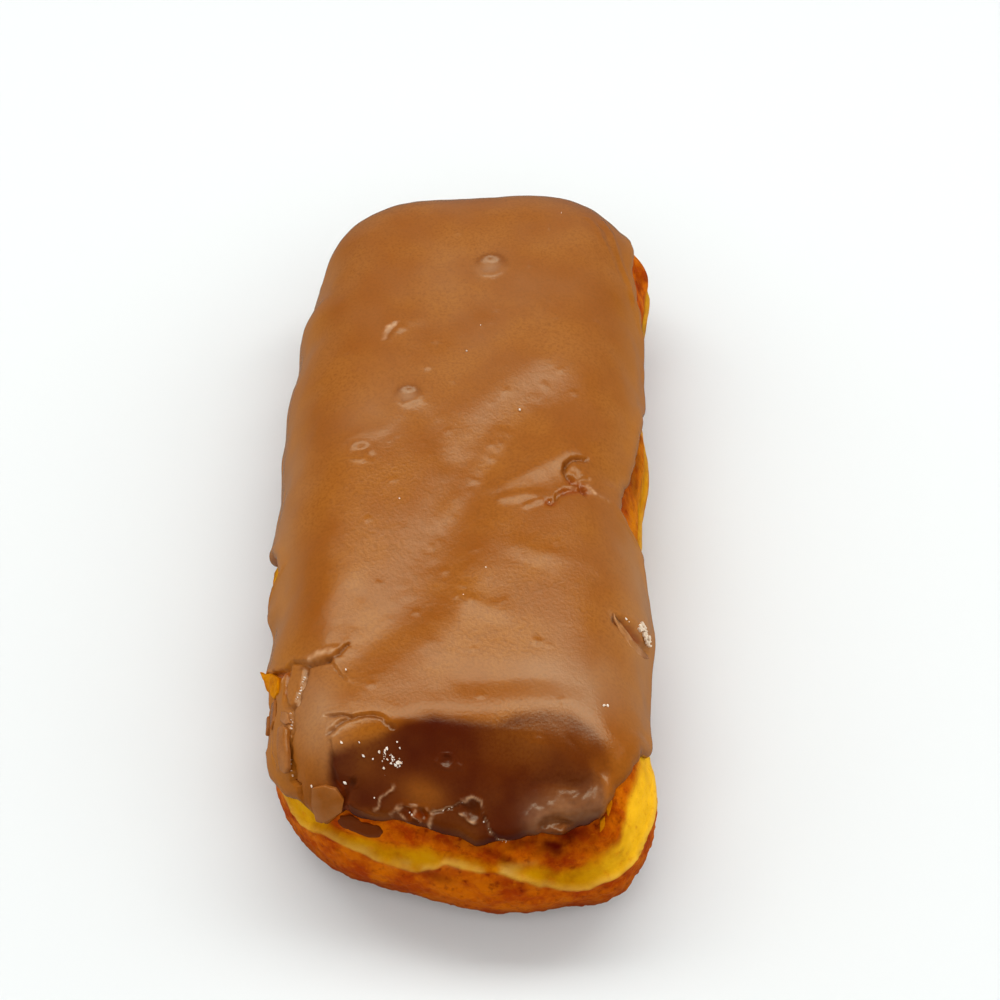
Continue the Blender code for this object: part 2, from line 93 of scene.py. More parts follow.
def bump(distance: Array, reach: float) -> Array:
    """Rounded bump.

    Args:
        distance: Distances from the middle of the bump.
        reach: Distance at which the bump has fallen to about a third.

    Returns:
        Numbers from 1 at the middle down to 0.
    """
    return np.exp(-((distance / reach) ** 2))


@dataclass(frozen=True)
class Grain:
    """Soft seeded noise in space, for unevenness with no pattern."""

    seed: int

    def hashed(self, cells: Array) -> Array:
        """Hash of grid cells.

        Args:
            cells: Whole numbers, three in each row.

        Returns:
            A number from -1 to 1 for each row.
        """
        mixed = cells.astype(np.int64) @ np.array(HASH_PRIMES) + self.seed * HASH_SEED_STEP
        for shift, factor in HASH_ROUNDS:
            mixed = (mixed ^ (mixed >> shift)) * factor & WORD
        return (mixed & HASH_BITS) / float(HASH_BITS) * 2.0 - 1.0

    def at(self, points: Array, size: float) -> Array:
        """Noise at points.

        Args:
            points: Places in millimetres, three in each row.
            size: Width of one swell, in millimetres.

        Returns:
            Numbers from about -1 to 1.
        """
        scaled = points / size
        base = np.floor(scaled)
        part = scaled - base
        part = part * part * part * (part * (part * 6.0 - 15.0) + 10.0)
        total = np.zeros(len(points))
        for corner in np.ndindex(2, 2, 2):
            weight = np.prod(np.where(np.array(corner) == 1, part, 1.0 - part), axis=1)
            total += weight * self.hashed(base + np.array(corner))
        return total

    def layered(self, points: Array, size: float, layers: int) -> Array:
        """Noise with finer layers on coarser ones.

        Args:
            points: Places in millimetres, three in each row.
            size: Width of the coarsest swells, in millimetres.
            layers: Number of layers, each half as wide and half as high as the one before.

        Returns:
            Numbers from about -1 to 1.
        """
        total = np.zeros(len(points))
        for layer in range(layers):
            total += self.at(points + LAYER_SHIFT * layer, size / 2**layer) / 2**layer
        return total / (2.0 - 2.0 ** (1 - layers))


@dataclass(frozen=True)
class Uneven:
    """Unevenness of one kind: the width of its coarsest swells, its layers, and where its noise is read."""

    size: float
    layers: int = 2
    shift: float = 0.0

    def of(self, grain: Grain, points: Array) -> Array:
        """Numbers from about -1 to 1 at points."""
        return grain.layered(points + self.shift, self.size, self.layers)


def rise(value: Array, start: float, width: float) -> Array:
    """Soft step from one place on.

    Args:
        value: Any numbers.
        start: The number up to which the result is 0.
        width: How much further it becomes 1.

    Returns:
        Numbers from 0 to 1.
    """
    return smooth((value - start) / width)


def in_sheet(u: Array, v: Array) -> Array:
    """Places in the flat sheet as points in space."""
    return np.stack([u, v, 0.0 * u], axis=-1)


@dataclass(frozen=True)
class Swell:
    """A place where the outline stands out from its even shape, or in where the height is below 0."""

    side: Side
    place: float
    reach: float
    height: float


# Swells and dips of the outline, as in the photo.
OUTLINE_SWELLS = (
    Swell(Side.LEFT, 66.0, 8.0, -0.8),
    Swell(Side.LEFT, 56.0, 7.0, -0.6),
    Swell(Side.LEFT, 47.0, 7.0, 1.2),
    Swell(Side.LEFT, 25.0, 8.0, 1.1),
    Swell(Side.LEFT, 12.0, 9.0, 0.8),
    Swell(Side.LEFT, -17.5, 9.0, 1.2),
    Swell(Side.LEFT, -37.0, 7.0, -1.0),
    Swell(Side.LEFT, -50.0, 5.0, 0.5),
    Swell(Side.LEFT, -60.0, 6.0, -0.6),
    Swell(Side.RIGHT, 62.5, 6.0, -1.2),
    Swell(Side.RIGHT, 13.0, 12.0, 1.2),
    Swell(Side.RIGHT, -35.0, 5.0, 0.7),
    Swell(Side.RIGHT, -55.0, 11.0, -1.4),
    Swell(Side.NEAR, 3.0, 10.0, 1.2),
    Swell(Side.NEAR, 21.0, 6.0, -1.0),
    Swell(Side.NEAR, 30.0, 6.0, 0.6),
)


@dataclass(frozen=True)
class Quarter:
    """A quarter of a superellipse, measured along its length from its widest point."""

    inset: float
    rise: float
    squareness: float
    steps: int = 400

    def table(self) -> tuple[Array, Array, Array]:
        """Arc lengths, insets and rises at even turns."""
        turn = np.linspace(0.0, math.pi / 2, self.steps)
        insets = self.inset * (1.0 - np.cos(turn) ** (2.0 / self.squareness))
        rises = self.rise * np.sin(turn) ** (2.0 / self.squareness)
        lengths = np.concatenate([[0.0], np.cumsum(np.hypot(np.diff(insets), np.diff(rises)))])
        return lengths, insets, rises

    def length(self) -> float:
        """Length of the whole quarter."""
        return float(self.table()[0][-1])

    def at(self, part: Array) -> tuple[Array, Array]:
        """Inset and rise at parts of the length from 0 to 1."""
        lengths, insets, rises = self.table()
        arc = np.clip(part, 0.0, 1.0) * lengths[-1]
        return np.interp(arc, lengths, insets), np.interp(arc, lengths, rises)


@dataclass(frozen=True)
class Skin:
    """The even skin of the bar of dough, the same as the solids have."""

    half_width: float = 37.5
    half_length: float = 85.3
    widest_height: float = 15.2
    dough_height: float = 38.2
    top_rounding: float = 18.8
    top: Quarter = Quarter(18.8, 23.0, 2.25)
    near_end: Quarter = Quarter(18.8, 23.0, 1.62)
    under: Quarter = Quarter(15.0, 15.2, 2.1)
    corner_near_left: float = 15.5
    corner_near_right: float = 19.0
    corner_far_left: float = 21.5
    corner_far_right: float = 29.0
    sideways_bow: float = -4.4
    near_slant: float = -5.0
    far_slant: float = 4.6
    near_bulge: float = 5.5
    crown: float = 1.2
    middle: tuple[float, float] = (-4.25, -2.5)
    near_from: float = 0.86
    near_fade: float = 0.12
    corner_fade: float = 0.35
    swell_from: float = 0.6
    swell_fade: float = 0.4
    least_radius: float = 0.5
    normal_step: float = 0.2

    def top_length(self) -> float:
        """Arc from the widest line to the flat of the top."""
        return self.top.length()

    def under_length(self) -> float:
        """Arc from the widest line down to the flat of the underside."""
        return self.under.length()

    def half_u(self) -> float:
        """Half the sheet's width between the widest lines."""
        return self.half_width - self.top_rounding + self.top_length()

    def half_v(self) -> float:
        """Half the sheet's length between the widest lines."""
        return self.half_length - self.top_rounding + self.top_length()

    def arc(self, u: Array, v: Array) -> Array:
        """Distance up the skin from the widest line."""
        return np.minimum(self.half_u() - np.abs(u), self.half_v() - np.abs(v))

    def ring(self, u: Array, v: Array) -> tuple[Array, Array]:
        """Place round the bar, as a point on the edge of the square from -1 to 1."""
        arc = self.arc(u, v)
        ring_x = np.clip(u / np.maximum(self.half_u() - arc, self.normal_step), -1.0, 1.0)
        ring_y = np.clip(v / np.maximum(self.half_v() - arc, self.normal_step), -1.0, 1.0)
        return ring_x, ring_y

    def station(self, ring_x: Array, ring_y: Array) -> Array:
        """Distance round the bar from the middle of its near end, towards the right."""
        wide, long = self.half_width, self.half_length
        near = ring_x * wide + np.where(ring_x >= 0.0, 0.0, 4.0 * (wide + long))
        right = wide + (ring_y + 1.0) * long
        far = 2.0 * long + wide * (2.0 - ring_x)
        left = 3.0 * wide + long * (3.0 - ring_y)
        ends = np.where(ring_y < 0.0, near, far)
        sides = np.where(ring_x > 0.0, right, left)
        return np.where(np.abs(ring_x) >= np.abs(ring_y), sides, ends)

    def around(self) -> float:
        """Length of the whole way round."""
        return 4.0 * (self.half_width + self.half_length)

    def section(self, arc: Array, near_share: Array) -> tuple[Array, Array]:
        """Inset from the widest line and height over the floor.

        Args:
            arc: Distances up the skin from the widest line.
            near_share: 1 on the steeper near end, 0 elsewhere.

        Returns:
            The insets and the heights.
        """
        length = self.top_length()
        inset, climb = self.top.at(arc / length)
        near_inset, near_climb = self.near_end.at(arc / length)
        inset = inset + near_share * (near_inset - inset) + np.maximum(arc - length, 0.0)
        climb = climb + near_share * (near_climb - climb)
        under_inset, under_drop = self.under.at(-arc / self.under_length())
        inset = np.where(arc >= 0.0, inset, under_inset)
        height = np.where(arc >= 0.0, self.widest_height + climb, self.widest_height - under_drop)
        return inset, height

    def swell(self, ring_x: Array, ring_y: Array) -> Array:
        """How far the outline stands out from its even shape."""
        total = np.zeros_like(ring_x)
        for one in OUTLINE_SWELLS:
            sideways = one.side in (Side.LEFT, Side.RIGHT)
            sign = -1.0 if one.side in (Side.LEFT, Side.NEAR) else 1.0
            along = ring_y * self.half_length if sideways else ring_x * self.half_width
            toward = (ring_x if sideways else ring_y) * sign
            there = rise(toward, self.swell_from, self.swell_fade)
            total = total + one.height * bump(along - one.place, one.reach) * there
        return total

    def rounded(self, x: Array, y: Array, inset: Array) -> tuple[Array, Array]:
        """The square plan with its corners rounded, by radii that shrink with the inset."""
        near = np.where(x > 0.0, self.corner_near_right, self.corner_near_left)
        far = np.where(x > 0.0, self.corner_far_right, self.corner_far_left)
        radius = np.maximum(np.where(y > 0.0, far, near) - inset, self.least_radius)
        middle_x = np.clip(x, -(self.half_width - inset - radius), self.half_width - inset - radius)
        middle_y = np.clip(y, -(self.half_length - inset - radius), self.half_length - inset - radius)
        off_x, off_y = x - middle_x, y - middle_y
        reach = np.hypot(off_x, off_y)
        scale = np.maximum(np.abs(off_x), np.abs(off_y)) / np.maximum(reach, TINY)
        scale = np.where(reach > TINY, scale, 0.0)
        return middle_x + off_x * scale, middle_y + off_y * scale

    def even(self, u: Array, v: Array) -> Array:
        """Points of the even skin.

        Args:
            u: Places across the sheet.
            v: Places along the sheet.

        Returns:
            Points in millimetres, three numbers in each row.
        """
        arc = self.arc(u, v)
        ring_x, ring_y = self.ring(u, v)
        near_share = rise(-ring_y, self.near_from, self.near_fade)
        near_share = near_share * smooth((1.0 - np.abs(ring_x)) / self.corner_fade)
        inset, height = self.section(arc, near_share)
        inset = inset - self.swell(ring_x, ring_y) * np.clip(1.0 - inset / self.top_rounding, 0.0, 1.0)
        inset = np.minimum(inset, self.half_width - 0.01 * self.normal_step)
        x, y = ring_x * (self.half_width - inset), ring_y * (self.half_length - inset)
        x, y = self.rounded(x, y, inset)
        along, across = y / self.half_length, x / self.half_width
        x = x + self.sideways_bow * (1.0 - along**2)
        y = y + across * self.near_slant * np.clip(-along, 0.0, 1.0) ** 2
        y = y + across * self.far_slant * np.clip(along, 0.0, 1.0) ** 2
        y = y - self.near_bulge * (1.0 - across**2) * np.clip(-along, 0.0, 1.0) ** 4
        lifted = smooth((height - self.widest_height) / (self.dough_height - self.widest_height))
        height = height + self.crown * lifted * (1.0 - across**2) * (1.0 - along**2)
        return np.stack([x - self.middle[0], y - self.middle[1], height], axis=-1)

    def outward(self, u: Array, v: Array) -> Array:
        """Unit normals of the even skin."""
        step = self.normal_step
        step_u = self.even(u + step, v) - self.even(u - step, v)
        step_v = self.even(u, v + step) - self.even(u, v - step)
        normal = np.cross(step_u, step_v)
        return normal / np.linalg.norm(normal, axis=-1, keepdims=True)


SKIN = Skin()


@dataclass(frozen=True)
class Around:
    """A height up the skin that changes round the bar, as (place, arc) pairs along each of its sides."""

    knots: dict[Side, tuple[tuple[float, float], ...]]

    def table(self) -> Array:
        """Stations and arcs of the knots, in order round the bar."""
        rows = []
        for side, pairs in self.knots.items():
            for place, arc in pairs:
                ring_x = {Side.LEFT: -1.0, Side.RIGHT: 1.0}.get(side, place)
                ring_y = {Side.NEAR: -1.0, Side.FAR: 1.0}.get(side, place)
                rows.append((float(SKIN.station(np.float64(ring_x), np.float64(ring_y))), arc))
        return np.array(sorted(rows))

    def at(self, u: Array, v: Array) -> Array:
        """Arc at places in the sheet."""
        table = self.table()
        lap = np.array([-SKIN.around(), 0.0, SKIN.around()])
        stations = (table[:, 0] + lap[:, None]).ravel()
        arcs = np.tile(table[:, 1], len(lap))
        station = SKIN.station(*SKIN.ring(u, v))
        after = np.clip(np.searchsorted(stations, station), 1, len(stations) - 1)
        part = (station - stations[after - 1]) / (stations[after] - stations[after - 1])
        return arcs[after - 1] + smooth(part) * (arcs[after] - arcs[after - 1])


ICING_EDGE = Around(
    {
        Side.NEAR: (
            (-0.95, 11.0), (-0.83, 10.2), (-0.77, 9.9), (-0.7, 14.8), (-0.6, 13.8), (-0.5, 14.0),
            (-0.4, 15.1), (-0.2, 14.6), (-0.05, 14.4), (0.06, 13.5), (0.17, 14.6), (0.42, 15.6),
            (0.55, 15.0), (0.68, 16.9), (0.8, 17.5), (0.92, 19.4),
        ),
        Side.RIGHT: (
            (-0.96, 20.2), (-0.88, 18.9), (-0.83, 17.0), (-0.74, 9.5), (-0.6, 4.5), (-0.35, 4.0),
            (-0.22, 8.6), (-0.18, 15.8), (-0.15, 17.8), (-0.11, 17.6), (-0.07, 16.6), (-0.02, 14.8),
            (0.06, 13.6), (0.14, 12.6), (0.22, 10.2), (0.3, 5.0), (0.48, 5.6), (0.58, 10.0), (0.62, 12.8),
            (0.72, 13.4), (0.84, 11.6), (0.88, 9.5), (0.98, 4.0),
        ),
        Side.FAR: (
            (0.55, 2.0), (0.15, 5.0), (-0.25, 1.5), (-0.7, 4.0),
        ),
        Side.LEFT: (
            (0.9, 2.0), (0.66, 3.6), (0.47, -1.2), (0.35, 2.2), (0.22, -2.2), (0.13, 0.8), (0.05, -1.8),
            (-0.08, 2.0), (-0.16, -0.6), (-0.22, 9.0), (-0.26, 11.0), (-0.31, 11.6), (-0.35, 1.0),
            (-0.5, 2.4), (-0.63, 6.5), (-0.74, 3.0), (-0.86, 6.0), (-0.93, 8.0),
        ),
    }
)

SEAM_RIDGE = Around(
    {
        Side.NEAR: (
            (-0.95, 4.6), (-0.86, 5.4), (-0.74, 6.8), (-0.6, 6.6), (-0.47, 5.2), (-0.27, 4.8), (-0.2, 6.4),
            (-0.11, 8.8), (0.05, 8.5), (0.14, 8.7), (0.27, 6.9), (0.37, 5.2), (0.52, 3.0), (0.6, 2.6),
            (0.7, 4.2), (0.84, 4.8), (0.96, 4.6),
        ),
        Side.RIGHT: (
            (-0.92, 6.5), (-0.8, 7.0), (-0.4, 3.0), (0.2, 2.6), (0.8, 2.4),
        ),
        Side.FAR: (
            (0.2, 1.6), (-0.6, 2.4),
        ),
        Side.LEFT: (
            (0.4, 1.8), (-0.2, 2.4), (-0.7, 3.0), (-0.92, 5.8),
        ),
    }
)

SEAM_TOP = Around(
    {
        Side.NEAR: (
            (-0.86, 12.5), (-0.7, 9.6), (-0.5, 9.6), (-0.2, 10.6), (-0.05, 10.9), (0.1, 11.2), (0.23, 10.2),
            (0.4, 9.6), (0.48, 7.8), (0.57, 8.1), (0.68, 9.6), (0.84, 12.6), (0.97, 15.4),
        ),
        Side.RIGHT: (
            (-0.92, 18.0), (-0.8, 17.0), (-0.6, 9.0), (0.0, 8.0), (0.5, 7.0), (0.8, 5.5),
        ),
        Side.FAR: (
            (0.0, 8.0),
        ),
        Side.LEFT: (
            (0.5, 8.4), (-0.5, 8.0), (-0.92, 8.6),
        ),
    }
)


def to_line(u: Array, v: Array, line: Line) -> tuple[Array, Array]:
    """Distance from places in the sheet to a line.

    Args:
        u: Places across the sheet.
        v: Places along the sheet.
        line: Points of the line.

    Returns:
        The distances, and the same with a minus sign on the line's right.
    """
    nearest = np.full_like(u, np.inf)
    signed = np.full_like(u, np.inf)
    for start, end in zip(line, line[1:]):
        run_u, run_v = end[0] - start[0], end[1] - start[1]
        part = ((u - start[0]) * run_u + (v - start[1]) * run_v) / (run_u**2 + run_v**2)
        part = np.clip(part, 0.0, 1.0)
        off_u, off_v = u - start[0] - part * run_u, v - start[1] - part * run_v
        away = np.hypot(off_u, off_v)
        side = np.where(run_u * off_v - run_v * off_u >= 0.0, 1.0, -1.0)
        closer = away < nearest
        nearest = np.where(closer, away, nearest)
        signed = np.where(closer, away * side, signed)
    return nearest, signed


@dataclass(frozen=True)
class Burst:
    """The round dent that a burst bubble leaves, with its raised rim."""

    u: float
    v: float
    radius: float
    depth: float
    rim: float
    shift: float = 0.0
    rim_reach: float = 0.32
    dent_reach: float = 0.68

    def height(self, u: Array, v: Array) -> Array:
        """Height over the even icing."""
        away = np.hypot(u - self.u, v - self.v) / self.radius
        low = np.hypot(u - self.u, v - self.v - self.shift) / self.radius
        return self.rim * bump(away - 1.0, self.rim_reach) - self.depth * bump(low, self.dent_reach)


@dataclass(frozen=True)
class Blister:
    """A small dome over a bubble that never burst."""

    u: float
    v: float
    radius: float
    rise: float

    def height(self, u: Array, v: Array) -> Array:
        """Height over the even icing."""
        away = np.hypot(u - self.u, v - self.v) / self.radius
        return self.rise * np.clip(1.0 - away**2, 0.0, 1.0) ** 1.5


@dataclass(frozen=True)
class Crack:
    """A split in set icing, with one lip a little higher than the other."""

    line: Line
    width: float
    depth: float
    lift: float
    lift_reach: float = 3.0
    lip_share: float = 0.6
    open_share: float = 0.55

    def height(self, u: Array, v: Array) -> Array:
        """Height over the even icing."""
        away, signed = to_line(u, v, self.line)
        raised = smooth(signed / (self.lip_share * self.width) * 0.5 + 0.5)
        lip = self.lift * raised * bump(away, self.lift_reach)
        return lip - self.depth * bump(away, self.width * self.open_share)


@dataclass(frozen=True)
class Fold:
    """A long soft ridge, or a hollow where the rise is below 0."""

    line: Line
    rise: float
    reach: float

    def height(self, u: Array, v: Array) -> Array:
        """Height over the even icing."""
        return self.rise * bump(to_line(u, v, self.line)[0], self.reach)


@dataclass(frozen=True)
class Graded:
    """Grid lines that are close together in some stretches and further apart in others."""

    stops: tuple[tuple[float, float], ...]
    multiple: int = 4

    def count(self) -> int:
        """Number of steps between the first line and the last."""
        total = self.density()[1][-1]
        return int(math.ceil(total / self.multiple)) * self.multiple

    def density(self) -> tuple[Array, Array]:
        """Places, and how many steps there are from the start to each."""
        places = np.linspace(self.stops[0][0], self.stops[-1][0], 4000)
        spacing = np.interp(places, [stop[0] for stop in self.stops], [stop[1] for stop in self.stops])
        steps = np.concatenate([[0.0], np.cumsum(np.diff(places) / ((spacing[1:] + spacing[:-1]) / 2.0))])
        return places, steps

    def at(self, share: Array) -> Array:
        """Places at shares from 0 to 1 of the number of steps."""
        places, steps = self.density()
        return np.interp(share * steps[-1], steps, places)


def mesh_points(mesh: bpy.types.Mesh) -> Array:
    """The vertices of a mesh as rows of three numbers."""
    points = np.empty(len(mesh.vertices) * 3, np.float32)
    mesh.vertices.foreach_get("co", points)
    return points.reshape(-1, 3).astype(float)


def place_points(mesh: bpy.types.Mesh, points: Array) -> None:
    """Moves the vertices of a mesh.

    Args:
        mesh: The mesh.
        points: Places in millimetres, three in each row.
    """
    mesh.vertices.foreach_set("co", (points * MM).astype(np.float32).ravel())
    mesh.update()


def paint(mesh: bpy.types.Mesh, name: str, values: Array) -> None:
    """Keeps one number for each vertex, for a material to read.

    Args:
        mesh: The mesh.
        name: Name of the attribute.
        values: The numbers.
    """
    layer = mesh.attributes.new(name, "FLOAT", "POINT")
    layer.data.foreach_set("value", values.astype(np.float32))


def finished(
    name: str, mesh: bpy.types.Mesh, surface: bpy.types.Material
) -> bpy.types.Object:
    """Puts a piece in the scene on the bar's body.

    Args:
        name: Name of the piece.
        mesh: Its mesh, already in place.
        surface: Its material.

    Returns:
        The piece.
    """
    piece = bpy.data.objects.new(name, mesh)
    bpy.context.scene.collection.objects.link(piece)
    mesh.materials.append(surface)
    mesh.polygons.foreach_set("use_smooth", [True] * len(mesh.polygons))
    mesh.update()
    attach(piece, "root")
    return piece


def linear(hex_color: str) -> tuple[float, float, float, float]:
    """Turns an sRGB colour to linear light.

    Args:
        hex_color: Six hex digits after a hash sign.

    Returns:
        Red, green, blue and alpha.
    """
    parts = [int(hex_color[start : start + 2], 16) / 255.0 for start in (1, 3, 5)]
    light = [part / 12.92 if part <= 0.04045 else ((part + 0.055) / 1.055) ** 2.4 for part in parts]
    return (*light, 1.0)


def node(
    tree: bpy.types.NodeTree,
    kind: str,
    settings: dict[str, object] | None = None,
    inputs: dict[str | int, object] | None = None,
) -> bpy.types.Node:
    """Adds a shader node.

    Args:
        tree: The node tree.
        kind: The node's type.
        settings: Its properties and their values.
        inputs: Its sockets, each with a value or with the socket that it is linked from.

    Returns:
        The node.
    """
    made = tree.nodes.new(kind)
    for name, value in (settings or {}).items():
        setattr(made, name, value)
    for name, value in (inputs or {}).items():
        if isinstance(value, bpy.types.NodeSocket):
            tree.links.new(value, made.inputs[name])
        else:
            made.inputs[name].default_value = value
    return made


@dataclass(frozen=True)
class Noise:
    """A noise pattern: the width of its swells in millimetres, its detail and how rough it is."""

    size: float
    detail: float
    roughness: float


@dataclass(frozen=True)
class Coat:
    """A colour laid over those before it, where a number says so.

    With a span, the number counts from 0 at the span's first value up to 1 at its second.
    """

    share: bpy.types.NodeSocket
    color: str | bpy.types.NodeSocket
    span: tuple[float, float] | None = None


def sources(
    tree: bpy.types.NodeTree, patterns: dict[str, Noise], painted: tuple[str, ...] = ()
) -> dict[str, bpy.types.NodeSocket]:
    """Adds what a finish reads: patterns in the bar's own space, and numbers painted on the piece.

    Args:
        tree: The node tree.
        patterns: The noise patterns by name.
        painted: Names of the painted numbers.

    Returns:
        The socket of each, by name.
    """
    place = node(tree, "ShaderNodeTexCoord").outputs["Object"]
    found = {}
    for name, noise in patterns.items():
        inputs = {"Vector": place, "Scale": 1.0 / (noise.size * MM)}
        inputs |= {"Detail": noise.detail, "Roughness": noise.roughness}
        found[name] = node(tree, "ShaderNodeTexNoise", {}, inputs).outputs["Fac"]
    for name in painted:
        found[name] = node(tree, "ShaderNodeAttribute", {"attribute_name": name}).outputs["Fac"]
    return found


def coated(
    tree: bpy.types.NodeTree, ground: str | bpy.types.NodeSocket, coats: tuple[Coat, ...]
) -> bpy.types.NodeSocket:
    """Lays coats of colour on a ground, each over those before it.

    Args:
        tree: The node tree.
        ground: The colour under them all, or its socket.
        coats: The coats, from the lowest up.

    Returns:
        The socket with the colour.
    """
    color = linear(ground) if isinstance(ground, str) else ground
    for coat in coats:
        share = coat.share
        if coat.span:
            ends = {"Value": share, "From Min": coat.span[0], "From Max": coat.span[1]}
            steps = {"interpolation_type": "SMOOTHSTEP"}
            share = node(tree, "ShaderNodeMapRange", steps, ends).outputs["Result"]
        over = linear(coat.color) if isinstance(coat.color, str) else coat.color
        color = node(tree, "ShaderNodeMix", {"data_type": "RGBA"}, {0: share, 6: color, 7: over}).outputs[2]
    return color


@dataclass(frozen=True)
class Finish:
    """What every finish has: a material, its roughness, and bumps too fine for the mesh."""

    roughness: float = 0.5
    bump_strength: float = 0.0
    bump_distance: float = 0.0

    def started(self, name: str) -> tuple[bpy.types.Material, bpy.types.NodeTree]:
        """A new material and its node tree."""
        made = bpy.data.materials.new(name)
        made.use_nodes = True
        return made, made.node_tree

    def complete(
        self,
        tree: bpy.types.NodeTree,
        color: bpy.types.NodeSocket,
        bumps: bpy.types.NodeSocket | None = None,
        gloss: dict[str, object] | None = None,
    ) -> None:
        """Links the colour and the bumps to the surface and sets its even values.

        Args:
            tree: The node tree.
            color: Socket with the colour.
            bumps: Socket with the height of the bumps, if any.
            gloss: Values for the surface's other sockets, by name.
        """
        surface = tree.nodes["Principled BSDF"]
        tree.links.new(color, surface.inputs["Base Color"])
        if bumps:
            relief = {"Height": bumps, "Strength": self.bump_strength, "Distance": self.bump_distance * MM}
            normal = node(tree, "ShaderNodeBump", {}, relief).outputs["Normal"]
            tree.links.new(normal, surface.inputs["Normal"])
        for name, value in {"Roughness": self.roughness, **(gloss or {})}.items():
            surface.inputs[name].default_value = value


@dataclass(frozen=True)
class FriedDoughFinish(Finish):
    """Yeast dough fried in oil: golden brown crust, and a pale yellow seam that stayed above the oil.

    To the eye the crust is matt and a little mottled, with darker freckles where it fried most,
    and the seam is smoother, softer and much lighter.
    """

    crust: str = "#a84203"
    crust_deep: str = "#7a2602"
    crust_light: str = "#cc7004"
    scorch: str = "#5c1002"
    seam: str = "#cc9202"
    seam_deep: str = "#ae6c02"
    seam_bright: str = "#f6be26"
    # Pale crumbs, and a painted highlight along the seam's ridge.
    ridge: str = "#d8b060"
    roughness: float = 0.6
    ior: float = 1.42
    gloss: float = 0.1
    gloss_tint: str = "#ffd9a0"
    mottle: Noise = Noise(5.0, 5.0, 0.6)
    freckle: Noise = Noise(1.5, 3.0, 0.6)
    pores: Noise = Noise(0.7, 4.0, 0.65)
    bump_strength: float = 0.6
    bump_distance: float = 0.5

    def material(self) -> bpy.types.Material:
        """The material, which reads the numbers painted on the dough."""
        made, tree = self.started("fried_yeast_dough")
        patterns = {"mottle": self.mottle, "freckle": self.freckle, "pores": self.pores}
        read = sources(tree, patterns, ("seam", "bright", "ridge", "scorch", "under"))
        brown = (
            Coat(read["mottle"], self.crust, (0.35, 0.68)),
            Coat(read["freckle"], self.crust_deep, (0.5, 0.85)),
            Coat(read["freckle"], self.crust_light, (0.45, 0.2)),
            Coat(read["under"], self.crust_deep),
        )
        pale = (
            Coat(read["mottle"], self.seam_deep, (0.4, 0.72)),
            Coat(read["bright"], self.seam_bright),
            Coat(read["freckle"], self.crust_light, (0.5, 0.95)),
        )
        over = (
            Coat(read["seam"], coated(tree, self.seam, pale)),
            Coat(read["ridge"], self.ridge),
            Coat(read["scorch"], self.scorch),
        )
        color = coated(tree, self.crust_light, brown + over)
        gloss = {"IOR": self.ior, "Specular IOR Level": self.gloss, "Specular Tint": linear(self.gloss_tint)}
        self.complete(tree, color, read["pores"], gloss)
        return made


@dataclass(frozen=True)
class SetIcingFinish(Finish):
    """Caramel brown icing, poured warm and set: satin, with a skin like fine orange peel.

    To the eye it is an even brown with a soft milky sheen towards the light. It is redder and
    darker where it is thin, and darker still where painted shade lies on the near face and in
    cracks. Its milky patches are partly sugar bloom and partly painted sheen, its sides are
    lightened by painted light, and a streak on the near face has painted sheen. It is duller
    where its skin has dried, and red-brown where it has torn.
    """

    body: str = "#95540e"
    body_light: str = "#a06119"
    # Thin icing over the crust; on the near face and along cracks it is also painted shade.
    thin_and_shade: str = "#4a0f00"
    torn: str = "#8e3c06"
    # Dried white skin; along the streak on the near face it is painted sheen.
    dried: str = "#d8ae86"
    speck: str = "#8c500c"
    # Painted light on the sides of the bar.
    side: str = "#b67420"
    # Milky patches: partly sugar bloom, partly painted sheen.
    bloom_and_sheen: str = "#b39b80"
    roughness: float = 0.27
    ior: float = 1.5
    gloss: float = 0.5
    sheen_tint: str = "#ecf8e2"
    cloud: Noise = Noise(14.0, 3.0, 0.5)
    peel: Noise = Noise(0.6, 2.0, 0.5)
    bump_strength: float = 0.5
    bump_distance: float = 0.08

    def material(self) -> bpy.types.Material:
        """The material, which reads the numbers painted on the icing."""
        made, tree = self.started("set_caramel_icing")
        painted = ("side", "bloom_and_sheen", "thin_and_shade", "torn", "dried")
        read = sources(tree, {"cloud": self.cloud, "peel": self.peel}, painted)
        coats = (
            Coat(read["cloud"], self.body_light, (0.35, 0.7)),
            Coat(read["peel"], self.speck, (0.35, 0.8)),
            *(Coat(read[name], getattr(self, name)) for name in painted),
        )
        gloss = {"IOR": self.ior, "Specular IOR Level": self.gloss, "Specular Tint": linear(self.sheen_tint)}
        self.complete(tree, coated(tree, self.body, coats), read["peel"], gloss)
        return made


@dataclass(frozen=True)
class SugarFinish(Finish):
    """Sugar that has dried white: matt, bright flakes."""

    color: str = "#efe6da"
    shade: str = "#d8c2a8"
    roughness: float = 0.55
    grit: Noise = Noise(0.4, 2.0, 0.5)

    def material(self) -> bpy.types.Material:
        """The material."""
        made, tree = self.started("dried_sugar")
        read = sources(tree, {"grit": self.grit})
        self.complete(tree, coated(tree, self.color, (Coat(read["grit"], self.shade, (0.4, 0.7)),)))
        return made


@dataclass(frozen=True)
class Spot:
    """A round patch of a given strength in the sheet."""

    u: float
    v: float
    reach_u: float
    reach_v: float
    strength: float = 1.0

    def at(self, u: Array, v: Array) -> Array:
        """Strength at places in the sheet."""
        off_u, off_v = (u - self.u) / self.reach_u, (v - self.v) / self.reach_v
        return self.strength * np.exp(-(off_u**2) - off_v**2)


